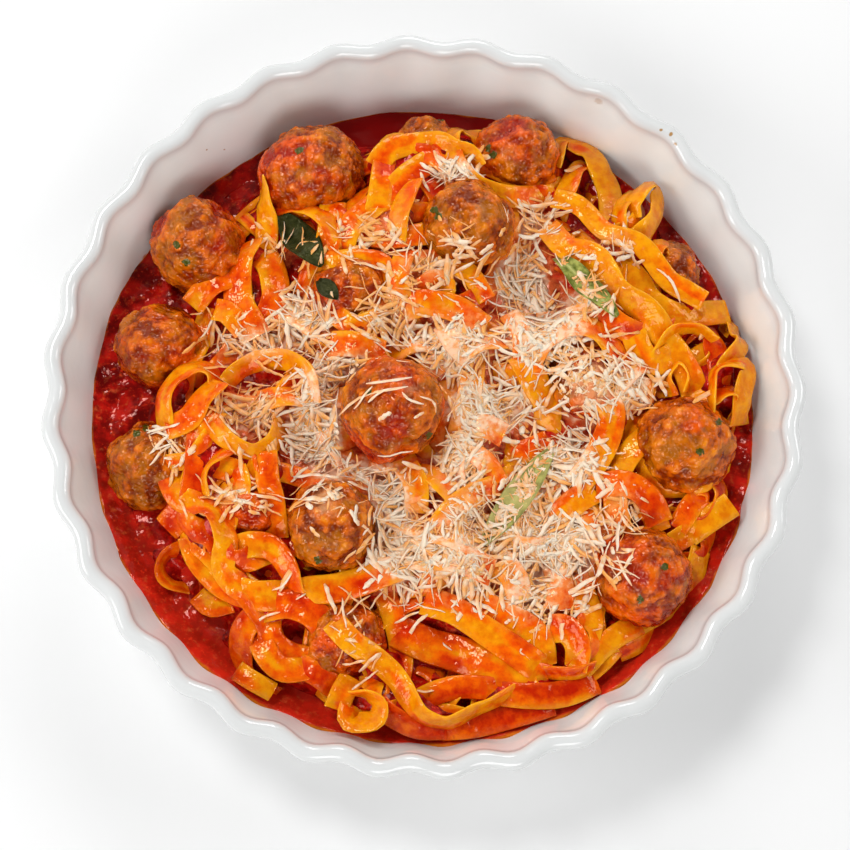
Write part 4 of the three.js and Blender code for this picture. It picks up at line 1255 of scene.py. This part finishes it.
def make_leaves(material, field):
    """Basil leaves, thin and rippled, lying on the heap."""
    lanes = np.linspace(-0.5, 0.5, 9)
    for number, (start, end, width) in enumerate(LEAVES, 1):
        line = placed_line([start, end], field)
        side = sides_of(line)
        along = np.linspace(0, 1, len(line))
        outline = width * (0.06 + 0.94 * np.sin(np.pi * np.minimum(1, along * 0.92 + 0.06)) ** 0.8)
        under = [field[cells_at(*(line + side * (lane * outline)[:, None]).T)] for lane in lanes]
        height = eased(np.max(under, axis=0)) + LEAF_THICKNESS
        rings, ribs = [], []
        for face, order in ((1, lanes), (-1, lanes[::-1])):
            for lane in order:
                place = line + side * (lane * outline)[:, None]
                ripple = 0.9 * np.abs(lane) * np.sin(9 * along + 5 * np.sign(lane)) * width / 10
                fold = height + 5 * lane**2 + ripple + face * LEAF_THICKNESS * 0.3
                rings.append(np.column_stack([place, fold]))
                ribs.append(np.full(len(line), 1 - min(1, abs(lane) * 9)))
        points = np.stack(rings, axis=1).reshape(-1, 3)
        count = len(rings)
        faces = [ring_faces(len(line), count), *end_faces(count, len(points) - count)]
        faces = [group[:, ::-1] for group in faces]
        marks = {
            "rib": np.stack(ribs, axis=1).ravel(),
            # how much painted shade darkens the leaf
            "painted_shade": np.full(len(points), LEAF_SHADE_SHARE[number - 1]),
            "pale": PALE_LEAF[number - 1] * (0.7 + 0.6 * noise(points, 8)),
        }
        leaf = make_piece(f"basil_leaf_{number}_blade", points, faces, material, marks)
        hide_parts(f"basil_leaf_{number}")
        stamp(field, points[:, 0], points[:, 1], points[:, 2])


def cheese_ground(field):
    """What the cheese lies on: a field of heights with its narrow gaps bridged."""
    high = wide_field(wide_field(field))
    return blurred(np.maximum(field, blurred(high, 1.5) - 2.0), 0.7)


def shred_line(place, length, rng):
    """Plan line of a shred: straight, bowed or slightly crooked."""
    at = np.linspace(-0.5, 0.5, SHRED_RINGS)
    heading = rng.uniform(0, 2 * math.pi)
    ahead = heading_vector(heading)
    sway = rng.uniform(-0.2, 0.2) * (0.25 - at**2) + 0.02 * np.sin(8 * at + heading)
    return place + np.outer(at * length, ahead) + np.outer(sway * length, [-ahead[1], ahead[0]])


def shred_mesh(line, width, thick, lift, flat, ground, rng):
    """Rings of a ragged shred that follows the ground; none where the ground is steep."""
    under = sampled(ground, *line.T)
    length = np.hypot(*(line[-1] - line[0]))
    if np.ptp(under) > STEEPEST * length:
        return None
    chord = np.linspace(under[0], under[-1], len(under))
    chord += 0.6 * np.max(under - chord)
    height = np.maximum(0.4 * under + 0.6 * chord, under - 0.3) + lift
    side = sides_of(line)
    beside = [sampled(ground, *(line + side * (width * share)).T) for share in (-0.5, 0.5)]
    roll = np.clip(np.mean(beside[1] - beside[0]) / width, -0.7, 0.7) + rng.uniform(-0.2, 0.2)
    out = np.column_stack([side * math.cos(roll), np.full(len(line), math.sin(roll))])
    up = np.column_stack([-side * math.sin(roll), np.full(len(line), math.cos(roll))])
    path = np.column_stack([line, height + thick / 2])
    at = np.linspace(-1, 1, len(line))
    taper = (1 - 0.6 * np.abs(at) ** 6) * width / 2
    ragged = [(taper * rng.uniform(0.6, 1.15, len(line)))[:, None] for _ in range(2)]
    thickness = up * (thick / 2 * (1 - 0.5 * at**2))[:, None]
    if flat:
        corners = [(ragged[0], 1), (ragged[0], -1), (-ragged[1], -1), (-ragged[1], 1)]
    else:
        corners = [(0, 1.2), (ragged[0], -0.8), (-ragged[1], -0.8)]
    rings = [path + out * a + thickness * b for a, b in corners]
    return np.stack(rings, axis=1).reshape(-1, 3)


class Shreds:
    """Collects shreds of one kind into one mesh."""

    def __init__(self, name, flat):
        self.name, self.flat = name, flat
        self.sides = 4 if flat else 3
        self.points, self.tones, self.quads, self.caps = [], [], [], []
        self.count = 0

    def add(self, line, width, thick, lift, white, ground, rng):
        shred = shred_mesh(line, width, thick, lift, self.flat, ground, rng)
        if shred is None:
            return
        caps = end_faces(self.sides, len(shred) - self.sides)
        self.quads.append(ring_faces(SHRED_RINGS, self.sides) + self.count)
        self.caps.append(np.vstack(caps) + self.count)
        self.points.append(shred)
        streaks = np.repeat(rng.uniform(-0.3, 0.3, SHRED_RINGS), self.sides)
        # Shreds lying lower get a lower tone, as painted shade and the painted glow of the orange under
        # them; the streaks vary at random
        self.tones.append(np.clip(white * (0.15 + lift / CHEESE_DEPTH) + streaks, 0, 1))
        self.count += len(shred)

    def scatter(self, place, white, ground, rng):
        length, width, thick = (rng.uniform(*sizes) for sizes in (FLAKE if self.flat else THREAD))
        lift = rng.uniform(0, CHEESE_DEPTH)
        self.add(shred_line(place, length, rng), width, thick, lift, white, ground, rng)

    def make(self):
        points = np.vstack(self.points)
        faces = [np.vstack(self.quads), np.vstack(self.caps)]
        marks = {"tone": np.concatenate(self.tones)}
        piece = make_piece(self.name, points, faces, cheese_material(self.name), marks)
        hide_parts("tagliatelle")


def is_bare(at):
    return any(math.hypot(at[0] - across, at[1] - down) < half for across, down, half in BARE + GAPS)


def make_cheese(field):
    """Grated cheese: threads and flakes scattered over its patches, and the ones that show singly."""
    rng = np.random.default_rng(33)
    ground = cheese_ground(field)
    threads, flakes = Shreds("cheese_threads", False), Shreds("cheese_flakes", True)
    for across, down, half_across, half_down, number, white in CHEESE:
        for index in range(round(number * CHEESE_SHARE)):
            reach = rng.normal(0, CHEESE_SPREAD, 2)
            at = (across + reach[0] * half_across, down + reach[1] * half_down)
            if is_bare(at) and rng.random() < BARE_SHARE:
                continue
            level = float(sampled(ground, *spot(*at, CHEESE_LEVEL)[:2]))
            kind = threads if index % 4 == 3 else flakes
            kind.scatter(spot(*at, level)[:2], white, ground, rng)
    for points, width in SINGLE_SHREDS:
        line = placed_line(points, field)
        line = np.column_stack([along_line(line[:, axis], SHRED_RINGS) for axis in (0, 1)])
        width *= SINGLE_WIDTH
        flakes.add(line, width, SINGLE_THICKNESS, CHEESE_DEPTH / 2, 1.0, ground, rng)
    threads.make()
    flakes.make()


def make_floor():
    mesh = bpy.data.meshes.new("floor")
    size = FLOOR_SIZE / 2
    corners = [(-size, -size, 0), (size, -size, 0), (size, size, 0), (-size, size, 0)]
    mesh.from_pydata(corners, [], [(0, 1, 2, 3)])
    material, _, shader = new_material("pale_floor")
    set_surface(shader, FLOOR_COLOUR, FLOOR_ROUGHNESS)
    mesh.materials.append(material)
    floor = put_object("floor", mesh)


def make_light(name, place, size, power):
    """A round light that shines at the middle of the dish."""
    data = bpy.data.lights.new(name, "AREA")
    data.shape = "DISK"
    data.size = size
    data.energy = power
    light = put_object(name, data)
    light.location = place
    light.rotation_mode = "QUATERNION"
    light.rotation_quaternion = (Vector(place) - Vector(LIT_POINT)).to_track_quat("Z", "Y")


def make_studio():
    """A pale sky, darker overhead, with five soft round lights."""
    world = bpy.data.worlds.new("studio")
    world.use_nodes = True
    nodes = world.node_tree.nodes
    place = add_node(nodes, "TexCoord", {}).outputs["Generated"]
    rise = add_node(nodes, "SeparateXYZ", {"Vector": place}).outputs["Z"]
    low = add_ramp(nodes, rise, 0.0, 0.25)
    high = add_ramp(nodes, rise, 0.4, 0.75)
    band = add_mix(nodes, low, LOW_SKY, MIDDLE_SKY)
    feed(nodes["Background"].inputs["Color"], add_mix(nodes, high, band, HIGH_SKY))
    bpy.context.scene.world = world
    make_light("key", (-0.5, 0.5, 1.2), 0.35, 6.3)
    make_light("left", (-1.2, -0.2, 0.8), 0.6, 5.4)
    make_light("near", (0.1, -1.2, 0.9), 0.8, 7.4)
    make_light("right", (1.1, 0.3, 0.9), 0.5, 3.2)
    make_light("far", (0.1, 1.2, 0.8), 0.5, 4.4)


def make_camera():
    right, up, back = view_axes()
    data = bpy.data.cameras.new("camera")
    data.sensor_width = SENSOR
    data.lens = VIEW_FOCAL / PICTURE * SENSOR
    data.clip_start, data.clip_end = 0.01, 20
    camera = put_object("camera", data)
    eye = (VIEW_AIM + back * VIEW_DISTANCE) * MM
    turn = Matrix(np.column_stack([right, up, back]).tolist()).to_4x4()
    camera.matrix_world = Matrix.Translation(eye) @ turn
    bpy.context.scene.camera = camera


def main():
    make_camera()
    make_studio()
    make_floor()
    make_dish(porcelain_material())
    balls = balls_of_frame()
    bed, tops = first_fields(balls)
    cover = cheese_cover()
    pasta = noodle_material()
    red = sauce_material()
    make_sauce(red)
    make_balls(meat_material(), balls, cover)
    make_bed(pasta, bed, cover)
    field = make_top(pasta, bed, tops, cover)
    film = film_field(bed, cover)
    make_core(red, film, cover)
    field = np.maximum(field, film)
    make_leaves(basil_material(), field)
    make_cheese(field)
    bpy.context.scene.view_settings.view_transform = "Standard"


main()
